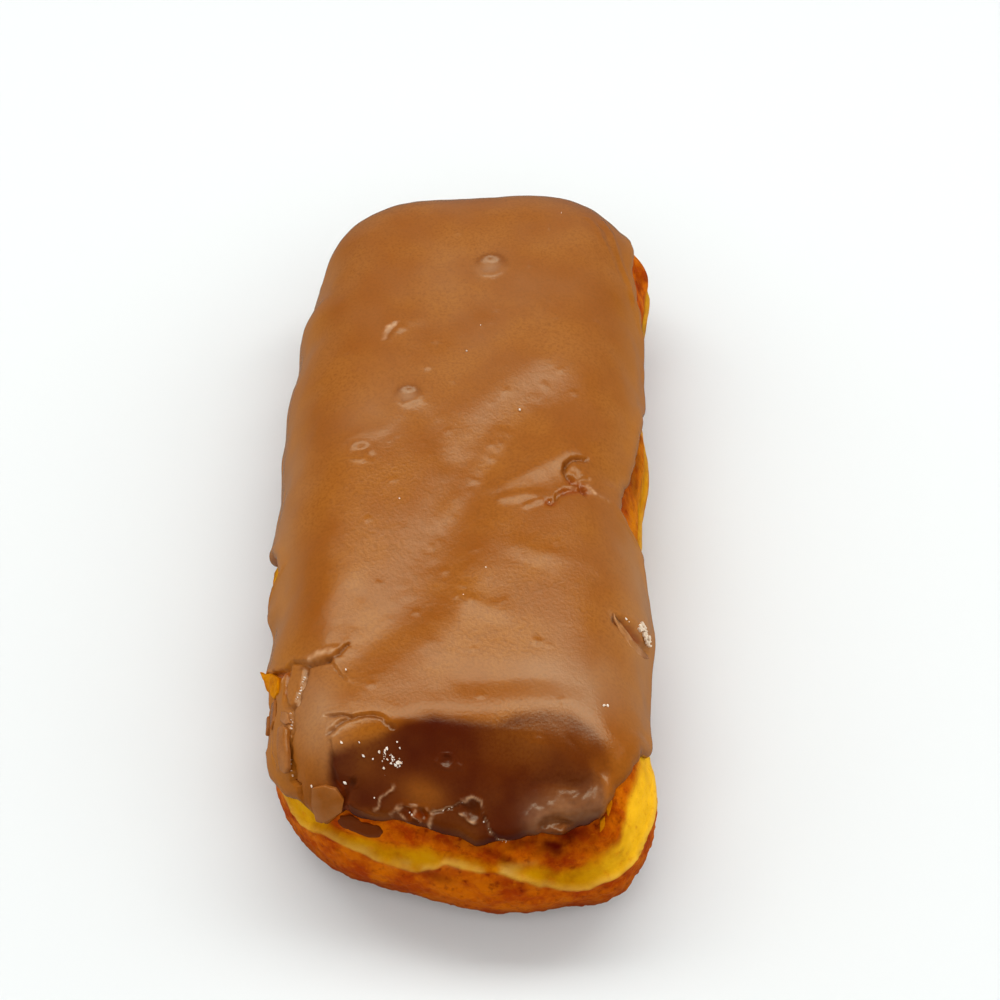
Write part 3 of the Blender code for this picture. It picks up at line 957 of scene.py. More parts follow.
# Soft folds that run through icing and dough alike: over the top, and at the top of the near face.
FOLDS = (
    Fold(((17.0, 14.0), (5.0, 2.0), (-4.0, -22.0), (-13.0, -39.0), (-26.0, -55.0)), -0.8, 7.0),
    Fold(
        ((-14.0, -75.5), (-5.0, -71.5), (5.0, -71.0), (15.0, -70.8), (21.0, -71.0), (26.5, -74.0)),
        -1.1, 5.4,
    ),
    Fold(((13.0, -78.0), (20.0, -77.0), (27.0, -79.5)), -1.0, 7.5),
    Fold(((17.0, -7.0), (9.0, -15.0)), -0.35, 7.0),
    Fold(
        ((-12.0, -66.0), (-6.0, -64.0), (3.0, -63.8), (10.0, -62.2), (16.0, -61.2), (20.0, -61.6)),
        0.22, 2.6,
    ),
    Fold(((1.0, -57.8), (9.0, -56.8), (16.0, -56.2)), -0.28, 2.6),
)
# Where the top turns over into the near face, and where the painted shade of the near face begins.
FACE_BORDER: Line = (
    (-27.6, -90.0), (-27.2, -79.6), (-25.8, -75.4), (-21.4, -72.4), (-15.7, -70.0), (-11.2, -67.2),
    (-5.7, -65.5), (2.0, -65.8), (6.3, -65.8), (9.9, -64.2), (15.7, -63.1), (20.3, -63.6), (24.0, -65.5),
    (26.7, -68.6), (29.0, -73.6), (28.0, -79.0), (27.0, -90.0),
)


@dataclass
class DoughBar:
    """The bar of fried dough with its pale seam.

    A span here is where a soft step starts, and how much further it is full.
    """

    ridge_height: float = 0.7
    ridge_reach: float = 0.7
    ridge_sway: float = 0.5
    pale_crest_rise: float = 0.1
    pale_crest_reach: float = 0.55
    channel_depth: float = 0.6
    seam_fade: float = 3.6
    bare_margin: float = 3.0
    crust_roughness: float = 0.16
    near_roughness: float = 0.4
    near_fine_share: float = 0.5
    fine_share: float = 0.7
    pit_depth: float = 0.55
    under_roughness: float = 0.14
    over_seam: Span = (-1.0, 2.0)
    under_edge: Span = (-1.0, 1.5)
    bare: Span = (-1.5, 1.0)
    below_ridge: Span = (0.5, 1.5)
    near: Span = (78.0, 4.0)
    pitted: Span = (0.4, 0.3)
    orange_right: Span = (37.0, 4.0)
    orange_half: float = 24.0
    orange_share: float = 0.3
    orange_dims: float = 0.45
    bright_right: Span = (26.0, 12.0)
    bright_near: Span = (55.0, 12.0)
    bright_left: Span = (36.0, 5.0)
    bright_left_share: float = 0.25
    ridge_share: float = 0.42
    crumb_share: float = 0.55
    palest: float = 0.8
    browned: Span = (0.25, 0.3)
    browned_behind: Span = (-60.0, 8.0)
    browned_share: float = 0.5
    under_starts: float = 2.0
    under_fade: float = 14.0
    finish: FriedDoughFinish = FriedDoughFinish()
    grain: Grain = Grain(11)
    sway: Uneven = Uneven(9.0, 3)
    coarse: Uneven = Uneven(2.6, 3)
    fine: Uneven = Uneven(1.2, 2, 50.0)
    pits: Uneven = Uneven(1.7, 1, 90.0)
    tint: Uneven = Uneven(4.0, 4, 20.0)
    patches: Uneven = Uneven(7.0, 3, 70.0)
    lines_u: Graded = Graded(
        ((-76.2, 0.9), (-58.0, 0.7), (-40.0, 0.6), (0.0, 0.6), (40.0, 0.6), (58.0, 0.7), (76.2, 0.9))
    )
    lines_v: Graded = Graded(
        (
            (-124.0, 0.7), (-112.0, 0.45), (-98.0, 0.36), (-80.0, 0.4),
            (-66.0, 1.2), (60.0, 1.5), (95.0, 1.2), (124.0, 1.2),
        )
    )
    mounds: tuple[Spot, ...] = (
        Spot(47.5, 72.5, 5.5, 8.0, 3.8),
        Spot(46.0, 59.0, 5.5, 6.0, 1.2),
        Spot(47.0, 10.0, 6.0, 12.0, 1.5),
        Spot(45.5, -10.0, 5.0, 7.0, 0.6),
        Spot(-47.0, -26.0, 4.0, 4.5, 0.9),
        Spot(-46.0, -36.0, 5.0, 4.0, 1.2),
    )
    crumb: tuple[Spot, ...] = (
        Spot(-14.0, -94.6, 4.5, 0.9, 0.6),
        Spot(-5.0, -92.0, 3.5, 0.7, 0.4),
        Spot(2.5, -90.8, 4.0, 0.5, 0.4),
        Spot(9.5, -91.2, 2.6, 1.1, 0.7),
        Spot(-25.0, -93.4, 3.0, 0.7, 0.35),
        Spot(14.0, -90.4, 2.2, 0.7, 0.3),
    )
    scorches: tuple[Spot, ...] = (
        Spot(20.5, -87.2, 4.8, 2.8, 1.6),
        Spot(23.5, -84.8, 3.0, 1.2, 0.6),
        Spot(12.0, -86.2, 4.2, 1.1, 0.75),
        Spot(2.0, -87.2, 6.0, 1.1, 0.5),
        Spot(-5.5, -87.0, 3.6, 0.9, 0.35),
        Spot(5.65, -88.3, 1.9, 0.7, 0.8),
        Spot(8.4, -89.3, 1.6, 0.7, 0.75),
        Spot(32.0, -79.6, 1.2, 1.4, 0.6),
        Spot(37.4, -91.4, 1.2, 0.9, 0.4),
        Spot(-8.0, -95.6, 5.0, 1.3, 0.6),
        Spot(11.0, -94.8, 8.0, 1.2, 0.3),
        Spot(21.0, -95.6, 4.0, 1.2, 0.05),
        Spot(36.0, -9.0, 3.2, 4.5, 0.6),
        Spot(37.6, 8.6, 1.6, 2.6, 0.6),
        Spot(38.8, 6.0, 1.2, 9.0, 0.3),
        Spot(39.5, 66.0, 1.6, 6.0, 0.35),
    )

    def over_ridge(self, u: Array, v: Array) -> Array:
        """Arc up from the swaying ridge under the seam."""
        sway = self.ridge_sway * self.sway.of(self.grain, in_sheet(u, v))
        return SKIN.arc(u, v) - SEAM_RIDGE.at(u, v) - sway

    def relief(self, u: Array, v: Array) -> Array:
        """Height of the dough over its even skin."""
        low, high = SEAM_RIDGE.at(u, v), SEAM_TOP.at(u, v)
        bare = rise(ICING_EDGE.at(u, v) - low, 0.5 * self.bare_margin, self.bare_margin)
        ridge = self.ridge_height * bump(self.over_ridge(u, v), self.ridge_reach)
        middle, half = (low + high) / 2.0, (high - low) / 2.0
        channel = self.channel_depth * np.exp(-(((SKIN.arc(u, v) - middle) / np.maximum(half, 1.0)) ** 4))
        height = bare * (ridge - channel) + sum(fold.height(u, v) for fold in FOLDS)
        return height + sum(mound.at(u, v) for mound in self.mounds)

    def roughened(self, u: Array, v: Array, points: Array) -> Array:
        """Fine unevenness, strongest on the crust between seam and icing."""
        arc, edge = SKIN.arc(u, v), ICING_EDGE.at(u, v)
        crust = rise(arc - SEAM_TOP.at(u, v), *self.over_seam) * rise(edge - arc, *self.under_edge)
        coarse, fine = self.coarse.of(self.grain, points), self.fine.of(self.grain, points)
        pits = -self.pit_depth * rise(self.pits.of(self.grain, points), *self.pitted)
        broken = self.crust_roughness * (coarse + self.fine_share * fine)
        crumbly = self.near_roughness * (coarse + self.near_fine_share * fine) + pits
        near = crust * rise(-v, *self.near) * crumbly
        below = rise(SEAM_RIDGE.at(u, v) - arc, *self.below_ridge) * self.under_roughness * (coarse + fine)
        return rise(edge - arc, *self.bare) * (broken + near + below)

    def build(self) -> bpy.types.Mesh:
        """The mesh: a grid folded over the bar, closed by the flat underside."""
        shell = bmesh.new()
        bmesh.ops.create_grid(
            shell, x_segments=self.lines_u.count(), y_segments=self.lines_v.count(), size=1.0
        )
        rim = [edge for edge in shell.edges if edge.is_boundary]
        bmesh.ops.holes_fill(shell, edges=rim, sides=0)
        mesh = bpy.data.meshes.new("dough_bar")
        shell.to_mesh(mesh)
        shell.free()
        flat = mesh_points(mesh)
        share_u, share_v = (flat[:, 0] + 1.0) / 2.0, (flat[:, 1] + 1.0) / 2.0
        border = np.abs(flat[:, :2]).max(axis=1) > 1.0 - BORDER_SHARE
        reach_u, reach_v = SKIN.half_u() + SKIN.under_length(), SKIN.half_v() + SKIN.under_length()
        u, v = self.lines_u.at(share_u), self.lines_v.at(share_v)
        u, v = u * reach_u / self.lines_u.stops[-1][0], v * reach_v / self.lines_v.stops[-1][0]
        points = SKIN.even(u, v)
        height = self.relief(u, v) + self.roughened(u, v, points)
        floor = smooth((SKIN.arc(u, v) + SKIN.under_length()) / 3.0)
        points = points + SKIN.outward(u, v) * (height * floor)[:, None]
        points[border, 2] = 0.0
        points[:, 2] = np.maximum(points[:, 2], 0.0)
        place_points(mesh, points)
        self.colour(mesh, u, v, points)
        return mesh

    def colour(self, mesh: bpy.types.Mesh, u: Array, v: Array, points: Array) -> None:
        """Paints the seam, a painted highlight on its ridge, crumbs, scorched spots and darker underside."""
        arc = SKIN.arc(u, v)
        ragged = self.tint.of(self.grain, points)
        above = smooth((arc - SEAM_RIDGE.at(u, v) + 0.9 + 0.6 * ragged) / 1.2)
        below = smooth((SEAM_TOP.at(u, v) - arc + 0.8 + 1.8 * ragged) / self.seam_fade)
        orange = rise(u, *self.orange_right) * smooth(1.5 - np.abs(v) / self.orange_half)
        bright = rise(u, *self.bright_right) * rise(-v, *self.bright_near)
        bright = bright + rise(-u, *self.bright_left) * self.bright_left_share
        # Painted highlight along the crest of the seam's ridge.
        ridge_highlight = bump(self.over_ridge(u, v) - self.pale_crest_rise, self.pale_crest_reach)
        torn = sum(patch.at(u, v) for patch in self.crumb) * rise(ragged, -0.3, 0.4)
        scorch = sum(spot.at(u, v) for spot in self.scorches)
        side = rise(self.patches.of(self.grain, points), *self.browned) * rise(v, *self.browned_behind)
        pale = self.ridge_share * ridge_highlight * rise(ragged, -0.5, 0.5) + self.crumb_share * torn
        for name, values in (
            ("seam", above * below * (1.0 - self.orange_dims * orange) + self.orange_share * orange),
            ("bright", bright * (0.85 + 0.5 * ragged)),
            ("ridge", np.minimum(pale, self.palest)),
            ("scorch", scorch * (0.75 + 0.6 * ragged) + self.browned_share * side),
            ("under", smooth((self.under_starts - arc) / self.under_fade)),
        ):
            paint(mesh, name, np.clip(values, 0.0, 1.0))

    def dress(self) -> bpy.types.Object:
        """The finished piece in place of the solid."""
        piece = finished("dough_bar", self.build(), self.finish.material())
        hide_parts("dough")
        return piece


@dataclass
class IcingCap:
    """The cap of icing: a fine outer face, a plain inner face, and a rounded rim between them.

    A span here is where a soft step starts, and how much further it is full.
    """

    gap: float = 0.3
    thickness: float = 1.2
    rim_width: float = 1.8
    bead: float = 0.35
    bead_at: float = 2.6
    thinnest: float = 0.12
    wander: float = 0.62
    bubble_count: int = 60
    bubble_seed: int = 17
    bubble_steepness: float = 0.17
    flank_height: float = 30.0
    flank_relief: float = 0.3
    billow_height: float = 0.1
    ripple_height: float = 0.025
    wrinkle_height: float = 0.2
    ragged_height: float = 0.4
    ragged_fine_height: float = 0.3
    face_near: Span = (60.0, 4.0)
    flank_border: Span = (-0.1, 0.3)
    flank_top: float = 25.0
    flank_fade: float = 14.0
    side_light_share: float = 0.65
    shade_share: float = 0.42
    torn_share: float = 0.7
    most_dried: float = 0.8
    streak_sheen_share: float = 0.2
    most_bloom_and_sheen: float = 0.6
    streak_line: Line = ((14.0, -81.2), (19.7, -79.8), (26.1, -79.4))
    finish: SetIcingFinish = SetIcingFinish()
    grain: Grain = Grain(5)
    ragged: Uneven = Uneven(5.0, 4)
    ragged_fine: Uneven = Uneven(1.8, 3, 9.0)
    shift_u: Uneven = Uneven(1.9, 3, 3.0)
    shift_v: Uneven = Uneven(1.9, 3, 13.0)
    billows: Uneven = Uneven(16.0)
    ripples: Uneven = Uneven(3.0)
    wrinkles: Uneven = Uneven(1.3)
    flank_swells: Uneven = Uneven(7.0, 2, 60.0)
    flecks: Uneven = Uneven(1.1, 2, 33.0)
    clouds: Uneven = Uneven(9.0, 3, 15.0)
    coarse_step: int = 4
    lines_u: Graded = Graded(
        ((-52.0, 0.3), (-49.5, 0.5), (-38.0, 0.42), (-18.0, 0.5), (34.0, 0.5), (49.5, 0.7), (52.0, 0.35))
    )
    lines_v: Graded = Graded(
        ((-100.0, 0.26), (-78.0, 0.32), (-52.0, 0.36), (-40.0, 0.6), (60.0, 0.66), (97.0, 1.2), (100.0, 0.5))
    )
    marks: tuple[Burst | Blister | Crack | Fold, ...] = (
        Burst(1.6, 50.4, 1.2, 0.4, 0.05),
        Burst(-12.6, 11.4, 1.0, 0.4, 0.06),
        Crack(((-16.3, 33.4), (-17.0, 31.6), (-17.7, 29.6)), 0.9, 0.8, 0.25, 1.2),
        Blister(-14.6, 32.2, 1.3, 0.22),
        Burst(-20.4, -3.0, 2.2, 0.40, 0.16, 0.5),
        Burst(-18.6, -4.6, 1.2, 0.25, 0.06),
        Crack(((25.0, -3.6), (22.8, -4.2), (21.4, -5.8)), 0.8, 0.75, 0.0),
        Crack(((21.4, -5.8), (21.1, -7.6), (21.9, -9.2)), 0.6, 0.5, 0.0),
        Blister(23.2, -6.0, 1.6, 0.24),
        Blister(25.0, -7.2, 1.3, 0.2),
        Blister(22.6, -7.8, 0.9, 0.2),
        Fold(((21.9, -9.2), (23.6, -9.4), (25.6, -8.6)), -0.35, 0.6),
        Crack(((22.5, -9.8), (23.7, -10.4), (25.2, -12.3)), 0.7, 0.7, 0.1, 1.2),
        Crack(((19.4, -14.6), (20.9, -12.8), (23.1, -12.0), (24.8, -11.7)), 0.7, 0.8, 0.16, 1.2),
        Burst(18.3, -15.7, 0.9, 1.0, 0.12),
        Fold(((13.4, -16.6), (16.4, -15.1)), 0.3, 0.6),
        Fold(((25.5, -10.4), (27.5, -11.6), (29.8, -12.3)), 0.2, 0.8),
        Fold(((16.0, -13.5), (12.0, -13.8), (9.0, -15.0)), 0.25, 1.2),
        Crack(((15.8, -82.6), (18.4, -82.2), (21.0, -82.4)), 1.5, 0.9, 0.0),
        Fold(((15.4, -84.6), (18.0, -84.9), (20.4, -84.2)), 1.6, 1.2),
        Fold(((13.0, -82.0), (16.4, -81.0), (20.4, -79.6), (24.6, -79.2), (27.4, -79.9)), 1.0, 2.0),
        Fold(((14.0, -76.2), (20.0, -75.4), (25.5, -76.0)), -0.35, 1.4),
        Burst(1.2, -80.2, 2.0, 0.85, 0.25),
        Burst(-12.4, -82.9, 1.7, 0.95, 0.2),
        Burst(-9.0, -82.8, 1.5, 0.9, 0.2),
        Burst(-10.8, -84.2, 1.0, 0.6, 0.15),
        Burst(-3.2, -72.8, 1.3, 0.35, 0.20),
        Blister(-5.2, -73.2, 0.9, 0.2),
        Blister(-0.9, -73.4, 0.8, 0.16),
        Burst(-23.0, -79.0, 0.9, 0.4, 0.15),
        Blister(-5.3, 62.8, 1.2, 0.22),
        Blister(5.3, 38.2, 1.0, 0.20),
        Blister(4.7, 34.4, 0.8, 0.15),
        Blister(17.3, 65.8, 0.9, 0.15),
        Blister(16.4, 41.5, 0.9, 0.15),
        Blister(16.7, 16.7, 1.0, 0.18),
        Blister(20.0, 20.8, 0.8, 0.15),
        Blister(-8.1, 20.6, 1.1, 0.22),
        Blister(-3.2, 2.6, 0.9, 0.16),
        Blister(-2.9, -33.3, 1.0, 0.18),
        Blister(0.6, -36.8, 0.8, 0.15),
        Blister(14.8, -48.7, 1.1, 0.22),
        Blister(-16.0, -36.8, 0.8, 0.15),
        Blister(14.2, -69.0, 1.8, 0.25),
        Crack(
            (
                (-43.0, -53.6), (-38.6, -54.6), (-35.6, -55.1), (-33.5, -54.0), (-30.1, -55.4),
                (-25.5, -54.8),
            ),
            0.8, 1.0, 0.42, 1.5,
        ),
        Crack(((-25.5, -54.8), (-23.4, -53.6), (-21.6, -51.2)), 0.5, 0.5, 0.18, 1.5),
        Crack(
            (
                (-30.1, -55.6), (-30.4, -57.8), (-31.6, -61.7), (-32.2, -64.2), (-33.5, -66.1),
                (-32.9, -70.2), (-35.0, -76.0), (-37.4, -82.7), (-37.1, -86.4),
            ),
            0.8, 0.8, -0.35, 2.4,
        ),
        Crack(((-34.6, -55.6), (-35.6, -59.0), (-35.8, -62.5), (-33.5, -66.1)), 0.9, 0.9, 0.2, 1.4),
        Crack(((-41.0, -60.0), (-39.6, -65.0), (-41.0, -71.0), (-40.2, -78.0)), 0.8, 0.5, 0.3, 1.8),
        Crack(((-45.5, -58.0), (-44.0, -66.0), (-45.0, -74.0)), 0.8, 0.4, 0.3, 1.8),
        Crack(((-25.5, -55.1), (-24.3, -56.4), (-23.4, -58.1), (-22.2, -59.2)), 0.5, 0.4, 0.15, 1.6),
        Crack(
            (
                (-25.2, -68.0), (-23.1, -67.8), (-20.6, -67.8), (-18.8, -66.9), (-16.4, -66.7),
                (-14.2, -67.5), (-13.3, -68.6),
            ),
            0.5, 0.5, 0.04, 1.2,
        ),
        Crack(((-25.5, -71.6), (-23.4, -69.7), (-20.9, -68.1)), 0.5, 0.5, 0.03, 1.2),
        Crack(
            ((-25.5, -73.6), (-25.2, -75.8), (-26.1, -79.6), (-25.2, -81.6), (-25.8, -86.5)),
            0.7, 0.6, 0.3, 1.5,
        ),
        Crack(((-7.2, -82.0), (-2.3, -80.5), (-0.4, -79.4)), 0.45, 0.5, 0.12, 1.2),
        Crack(((3.4, -81.6), (4.4, -83.2), (6.0, -84.6), (8.4, -85.4)), 0.45, 0.5, 0.12, 1.2),
        Crack(((31.0, -40.6), (33.4, -41.4), (35.6, -42.2), (38.4, -43.0), (41.4, -43.6)), 1.9, 1.15, 0.0),
        Fold(((31.4, -39.2), (36.5, -39.0), (41.0, -39.6)), 0.3, 0.8),
        Fold(((32.0, -5.6), (36.0, -4.8), (40.0, -4.0)), -0.4, 2.6),
        Fold(((-30.0, -53.8), (-27.0, -53.2), (-24.0, -52.4)), 0.28, 0.8),
        Fold(((15.0, 23.0), (0.5, 7.0), (-8.5, -19.0), (-14.5, -38.0), (-24.5, -51.0)), 0.28, 4.0),
        Fold(((17.5, 9.0), (6.0, -6.0), (0.5, -24.0), (-5.5, -40.0), (-23.0, -58.0)), -0.5, 5.0),
        Fold(((24.0, 1.0), (9.0, -14.0), (4.0, -34.0), (-4.0, -50.0)), 0.3, 4.0),
        Fold(((8.0, 3.0), (2.0, -9.0), (-4.0, -20.6)), 0.22, 2.0),
        Fold(((-11.5, 11.5), (-16.0, 4.0), (-22.0, 1.0)), 0.25, 2.4),
        Fold(((-9.5, 8.0), (-3.0, -5.0)), -0.25, 3.0),
        Fold(((-20.0, -40.0), (-21.0, -46.0)), -0.25, 2.6),
        Fold(((7.8, -11.0), (16.0, -6.0), (23.0, -1.7)), 0.35, 2.4),
        Fold(((12.0, -27.0), (18.0, -28.5)), 0.22, 2.6),
        Fold(((2.0, -41.0), (8.0, -42.0)), 0.22, 2.4),
        Fold(((-17.0, 33.5), (-11.0, 35.0)), 0.2, 2.2),
        Fold(((-19.1, -83.5), (-16.4, -80.5), (-14.5, -78.8)), 0.28, 0.45),
        Fold(((-25.2, -82.9), (-22.8, -83.8), (-19.4, -84.8)), 0.28, 0.5),
        Fold(((27.4, 71.9), (28.0, 62.5), (32.9, 55.0)), 0.25, 0.7),
        Fold(((31.0, 72.0), (31.5, 63.0), (35.0, 56.0), (37.0, 50.0)), 0.3, 0.7),
        Fold(((29.0, 68.0), (30.0, 60.0), (34.0, 54.0)), -0.25, 0.8),
    )
    craters: tuple[Burst, ...] = (
        Burst(3.0, 52.0, 2.9, 0.55, 0.3, 0.6),
        Burst(-11.8, 12.6, 2.3, 0.5, 0.26, 0.5),
    )
    # Lines along the cracks that get painted shade.
    shaded: tuple[Line, ...] = (
        ((25.4, -3.6), (22.8, -4.0), (21.2, -5.6), (20.9, -7.6), (21.9, -9.2)),
        ((-13.6, -68.3), (-16.8, -66.9), (-20.6, -67.6), (-23.4, -69.7), (-25.5, -71.6)),
        ((-24.6, -67.8), (-20.6, -67.5)),
        ((-30.1, -55.6), (-30.4, -59.5), (-31.3, -62.8), (-33.2, -65.5)),
        ((-31.6, -56.0), (-26.4, -55.2), (-24.0, -54.2), (-21.5, -51.0)),
    )
    # Patches where the painted shade of the near face is weaker.
    face_lights: tuple[Spot, ...] = (
        Spot(-8.5, -79.0, 4.5, 2.8, 0.65),
        Spot(18.0, -67.0, 9.0, 4.5, 0.3),
        Spot(27.0, -74.5, 2.2, 5.0, 0.35),
        Spot(-19.0, -84.6, 4.0, 1.4, 0.4),
    )
    # Milky patches, partly sugar bloom and partly painted sheen, also on the sides.
    bloom_and_sheen_spots: tuple[Spot, ...] = (
        Spot(40.0, -28.0, 8.0, 34.0, 0.22),
        Spot(-42.0, -14.0, 8.0, 24.0, 0.14),
        Spot(2.0, 48.0, 30.0, 42.0, 0.12),
        Spot(-28.0, -67.0, 6.0, 13.0, 0.22),
        Spot(22.0, -57.0, 9.0, 7.0, 0.3),
        Spot(-36.0, -20.0, 7.0, 30.0, 0.08),
        Spot(-19.0, 6.0, 7.0, 8.0, 0.1),
        Spot(30.0, -24.0, 6.0, 24.0, 0.08),
    )
    torn: tuple[Crack, ...] = (
        Crack(((22.5, -9.8), (23.7, -10.4), (25.0, -12.0)), 1.3, 0.2, 0.0),
        Crack(((20.9, -12.9), (23.1, -12.2), (24.8, -11.9)), 1.1, 0.2, 0.0),
        Crack(((17.8, -15.6), (18.8, -15.8)), 1.0, 0.2, 0.0),
        Crack(((-43.0, -54.6), (-38.6, -55.4), (-36.0, -56.0)), 1.8, 0.3, 0.0),
        Crack(((-35.2, -57.0), (-35.8, -61.0)), 0.8, 0.3, 0.0),
        Crack(((-25.4, -80.0), (-25.6, -86.0)), 0.9, 0.2, 0.0),
        Crack(((31.8, -41.0), (35.0, -41.9), (38.4, -42.8)), 1.5, 0.2, 0.0),
        Crack(((-12.6, -83.0), (-8.6, -83.0)), 1.2, 0.1, 0.0),
    )
    dried: tuple[Fold, ...] = (
        Fold(((-16.0, -84.0), (-13.0, -81.6), (-10.2, -81.3)), 0.25, 0.32),
        Fold(((-10.4, -82.2), (-11.6, -83.4), (-9.6, -84.2)), 0.22, 0.3),
        Fold(((-8.0, -81.6), (-6.9, -82.4), (-7.8, -84.8)), 0.25, 0.34),
        Fold(((-14.0, -83.2), (-12.4, -84.6)), 0.2, 0.3),
        Fold(((-0.6, -79.0), (1.2, -78.2), (2.8, -79.0), (3.2, -80.6)), 0.16, 0.28),
        Fold(((-0.8, -81.2), (0.6, -82.4), (2.0, -82.2)), 0.2, 0.34),
        Fold(((-7.0, -81.8), (-2.3, -80.3), (-0.8, -79.3)), 0.0, 0.22),
        Fold(((3.6, -81.8), (4.6, -83.4), (6.2, -84.8), (8.8, -85.6)), 0.0, 0.22),
        Fold(((-19.1, -83.5), (-16.4, -80.5), (-14.5, -78.8)), 0.0, 0.3),
        Fold(((-30.2, -54.3), (-27.0, -53.2), (-25.0, -52.6)), 0.0, 0.8),
        Fold(((-30.4, -57.8), (-31.6, -61.7), (-32.2, -64.2)), 0.0, 0.3),
        Fold(((-34.4, -66.6), (-33.4, -67.8), (-33.2, -70.0)), 0.2, 0.4),
        Fold(((-37.0, -57.6), (-36.4, -55.6)), 0.2, 0.5),
        Fold(((-16.0, 33.8), (-17.6, 32.6), (-18.4, 29.4)), 0.1, 0.5),
        Fold(((25.5, -10.4), (27.5, -11.6), (29.8, -12.3)), 0.0, 0.5),
        Fold(((29.8, -39.6), (30.6, -41.4)), 0.0, 0.5),
    )

    def bubbles(self) -> tuple[Blister, ...]:
        """Small bubbles under the skin, strewn over the top."""
        chance = np.random.default_rng(self.bubble_seed)
        ranges = ((-27.0, 27.0), (-62.0, 78.0), (0.5, 1.0))
        places = zip(*(chance.uniform(low, high, self.bubble_count).tolist() for low, high in ranges))
        return tuple(Blister(u, v, radius, self.bubble_steepness * radius) for u, v, radius in places)

    def edge(self, u: Array, v: Array) -> Array:
        """Arc of the ragged lower edge."""
        ring_x, ring_y = SKIN.ring(u, v)
        along = in_sheet(ring_x * SKIN.half_width, ring_y * SKIN.half_length)
        ragged = self.ragged_height * self.ragged.of(self.grain, along)
        ragged = ragged + self.ragged_fine_height * self.ragged_fine.of(self.grain, along)
        return ICING_EDGE.at(u, v) + ragged

    def settle(self, share_u: Array, share_v: Array) -> tuple[Array, Array, Array]:
        """Lays an even grid in the sheet so that its border follows the lower edge.

        Args:
            share_u: Shares from 0 to 1 across the grid.
            share_v: Shares from 0 to 1 along the grid.

        Returns:
            The places in the sheet, and their distance up from the edge.
        """
        u = self.lines_u.at(share_u) * SKIN.half_u() / self.lines_u.stops[-1][0]
        v = self.lines_v.at(share_v) * SKIN.half_v() / self.lines_v.stops[-1][0]
        arc = SKIN.arc(u, v)
        ring_x, ring_y = SKIN.ring(u, v)
        edge = self.edge(u, v)
        length = SKIN.top_length()
        drawn = arc + edge * np.clip(1.0 - arc / length, 0.0, 1.0)
        return ring_x * (SKIN.half_u() - drawn), ring_y * (SKIN.half_v() - drawn), drawn - edge

    def streak(self, u: Array, v: Array, reach: float) -> Array:
        """Nearness to the wrinkled streak low on the near face."""
        return bump(to_line(u, v, self.streak_line)[0], reach)

    def wandering(self, u: Array, v: Array) -> tuple[Array, Array]:
        """Places shifted a little, so that the marks have no straight or round outlines."""
        sheet = in_sheet(u, v)
        shift_u, shift_v = self.shift_u.of(self.grain, sheet), self.shift_v.of(self.grain, sheet)
        return u + self.wander * shift_u, v + self.wander * shift_v

    def depth(self, u: Array, v: Array, up: Array, points: Array) -> Array:
        """Height of the outer face over the inner one."""
        part = np.clip(up / self.rim_width, 0.0, 1.0)
        rim = np.sqrt(1.0 - (1.0 - part) ** 2)
        height = self.thickness * np.ones_like(u)
        height += self.bead * bump(up - self.bead_at, 0.6 * self.bead_at)
        billows, ripples = self.billows.of(self.grain, points), self.ripples.of(self.grain, points)
        height += self.billow_height * billows + self.ripple_height * ripples
        u, v = self.wandering(u, v)
        for mark in (*self.marks, *self.craters, *self.torn, *self.dried, *self.bubbles()):
            height += mark.height(u, v)
        height += self.wrinkle_height * self.streak(u, v, 2.2) * self.wrinkles.of(self.grain, points)
        flank = smooth((self.flank_height - SKIN.arc(u, v)) / 8.0)
        height += self.flank_relief * flank * self.flank_swells.of(self.grain, points)
        return np.maximum(height, self.thinnest) * rim

    def build(self) -> bpy.types.Mesh:
        """The mesh of the cap."""
        across, along = self.lines_u.count(), self.lines_v.count()
        shell = bmesh.new()
        bmesh.ops.create_grid(shell, x_segments=across, y_segments=along, size=1.0)
        fine = len(shell.verts)
        bmesh.ops.create_grid(
            shell,
            x_segments=across // self.coarse_step,
            y_segments=along // self.coarse_step,
            size=1.0,
            matrix=Matrix.Translation((0.0, 0.0, -1.0)),
        )
        mesh = bpy.data.meshes.new("icing_cap")
        shell.to_mesh(mesh)
        shell.free()
        flat = mesh_points(mesh)
        share_u, share_v = (flat[:, 0] + 1.0) / 2.0, (flat[:, 1] + 1.0) / 2.0
        u, v, up = self.settle(share_u, share_v)
        points = SKIN.even(u, v)
        outer = np.arange(len(u)) < fine
        height = DOUGH.relief(u, v) + self.gap + np.where(outer, self.depth(u, v, up, points), 0.0)
        points = points + SKIN.outward(u, v) * height[:, None]
        place_points(mesh, points)
        self.colour(mesh, u, v, up, points)
        self.close(mesh)
        return mesh

    def close(self, mesh: bpy.types.Mesh) -> None:
        """Joins the two faces along the rim."""
        shell = bmesh.new()
        shell.from_mesh(mesh)
        rim = [vert for vert in shell.verts if vert.is_boundary]
        bmesh.ops.remove_doubles(shell, verts=rim, dist=0.001 * MM)
        rim = [edge for edge in shell.edges if edge.is_boundary]
        bmesh.ops.holes_fill(shell, edges=rim, sides=self.coarse_step + 2)
        bmesh.ops.recalc_face_normals(shell, faces=shell.faces)
        shell.to_mesh(mesh)
        shell.free()

    def thin_and_face_shade(self, u: Array, v: Array, up: Array, cloud: Array) -> Array:
        """Thin icing at the rim, and painted shade with thinner icing over the whole near face.

        Args:
            u: Places across the sheet.
            v: Places along the sheet.
            up: Distances up from the lower edge.
            cloud: Soft unevenness from -1 to 1.

        Returns:
            Numbers from 0 up.
        """
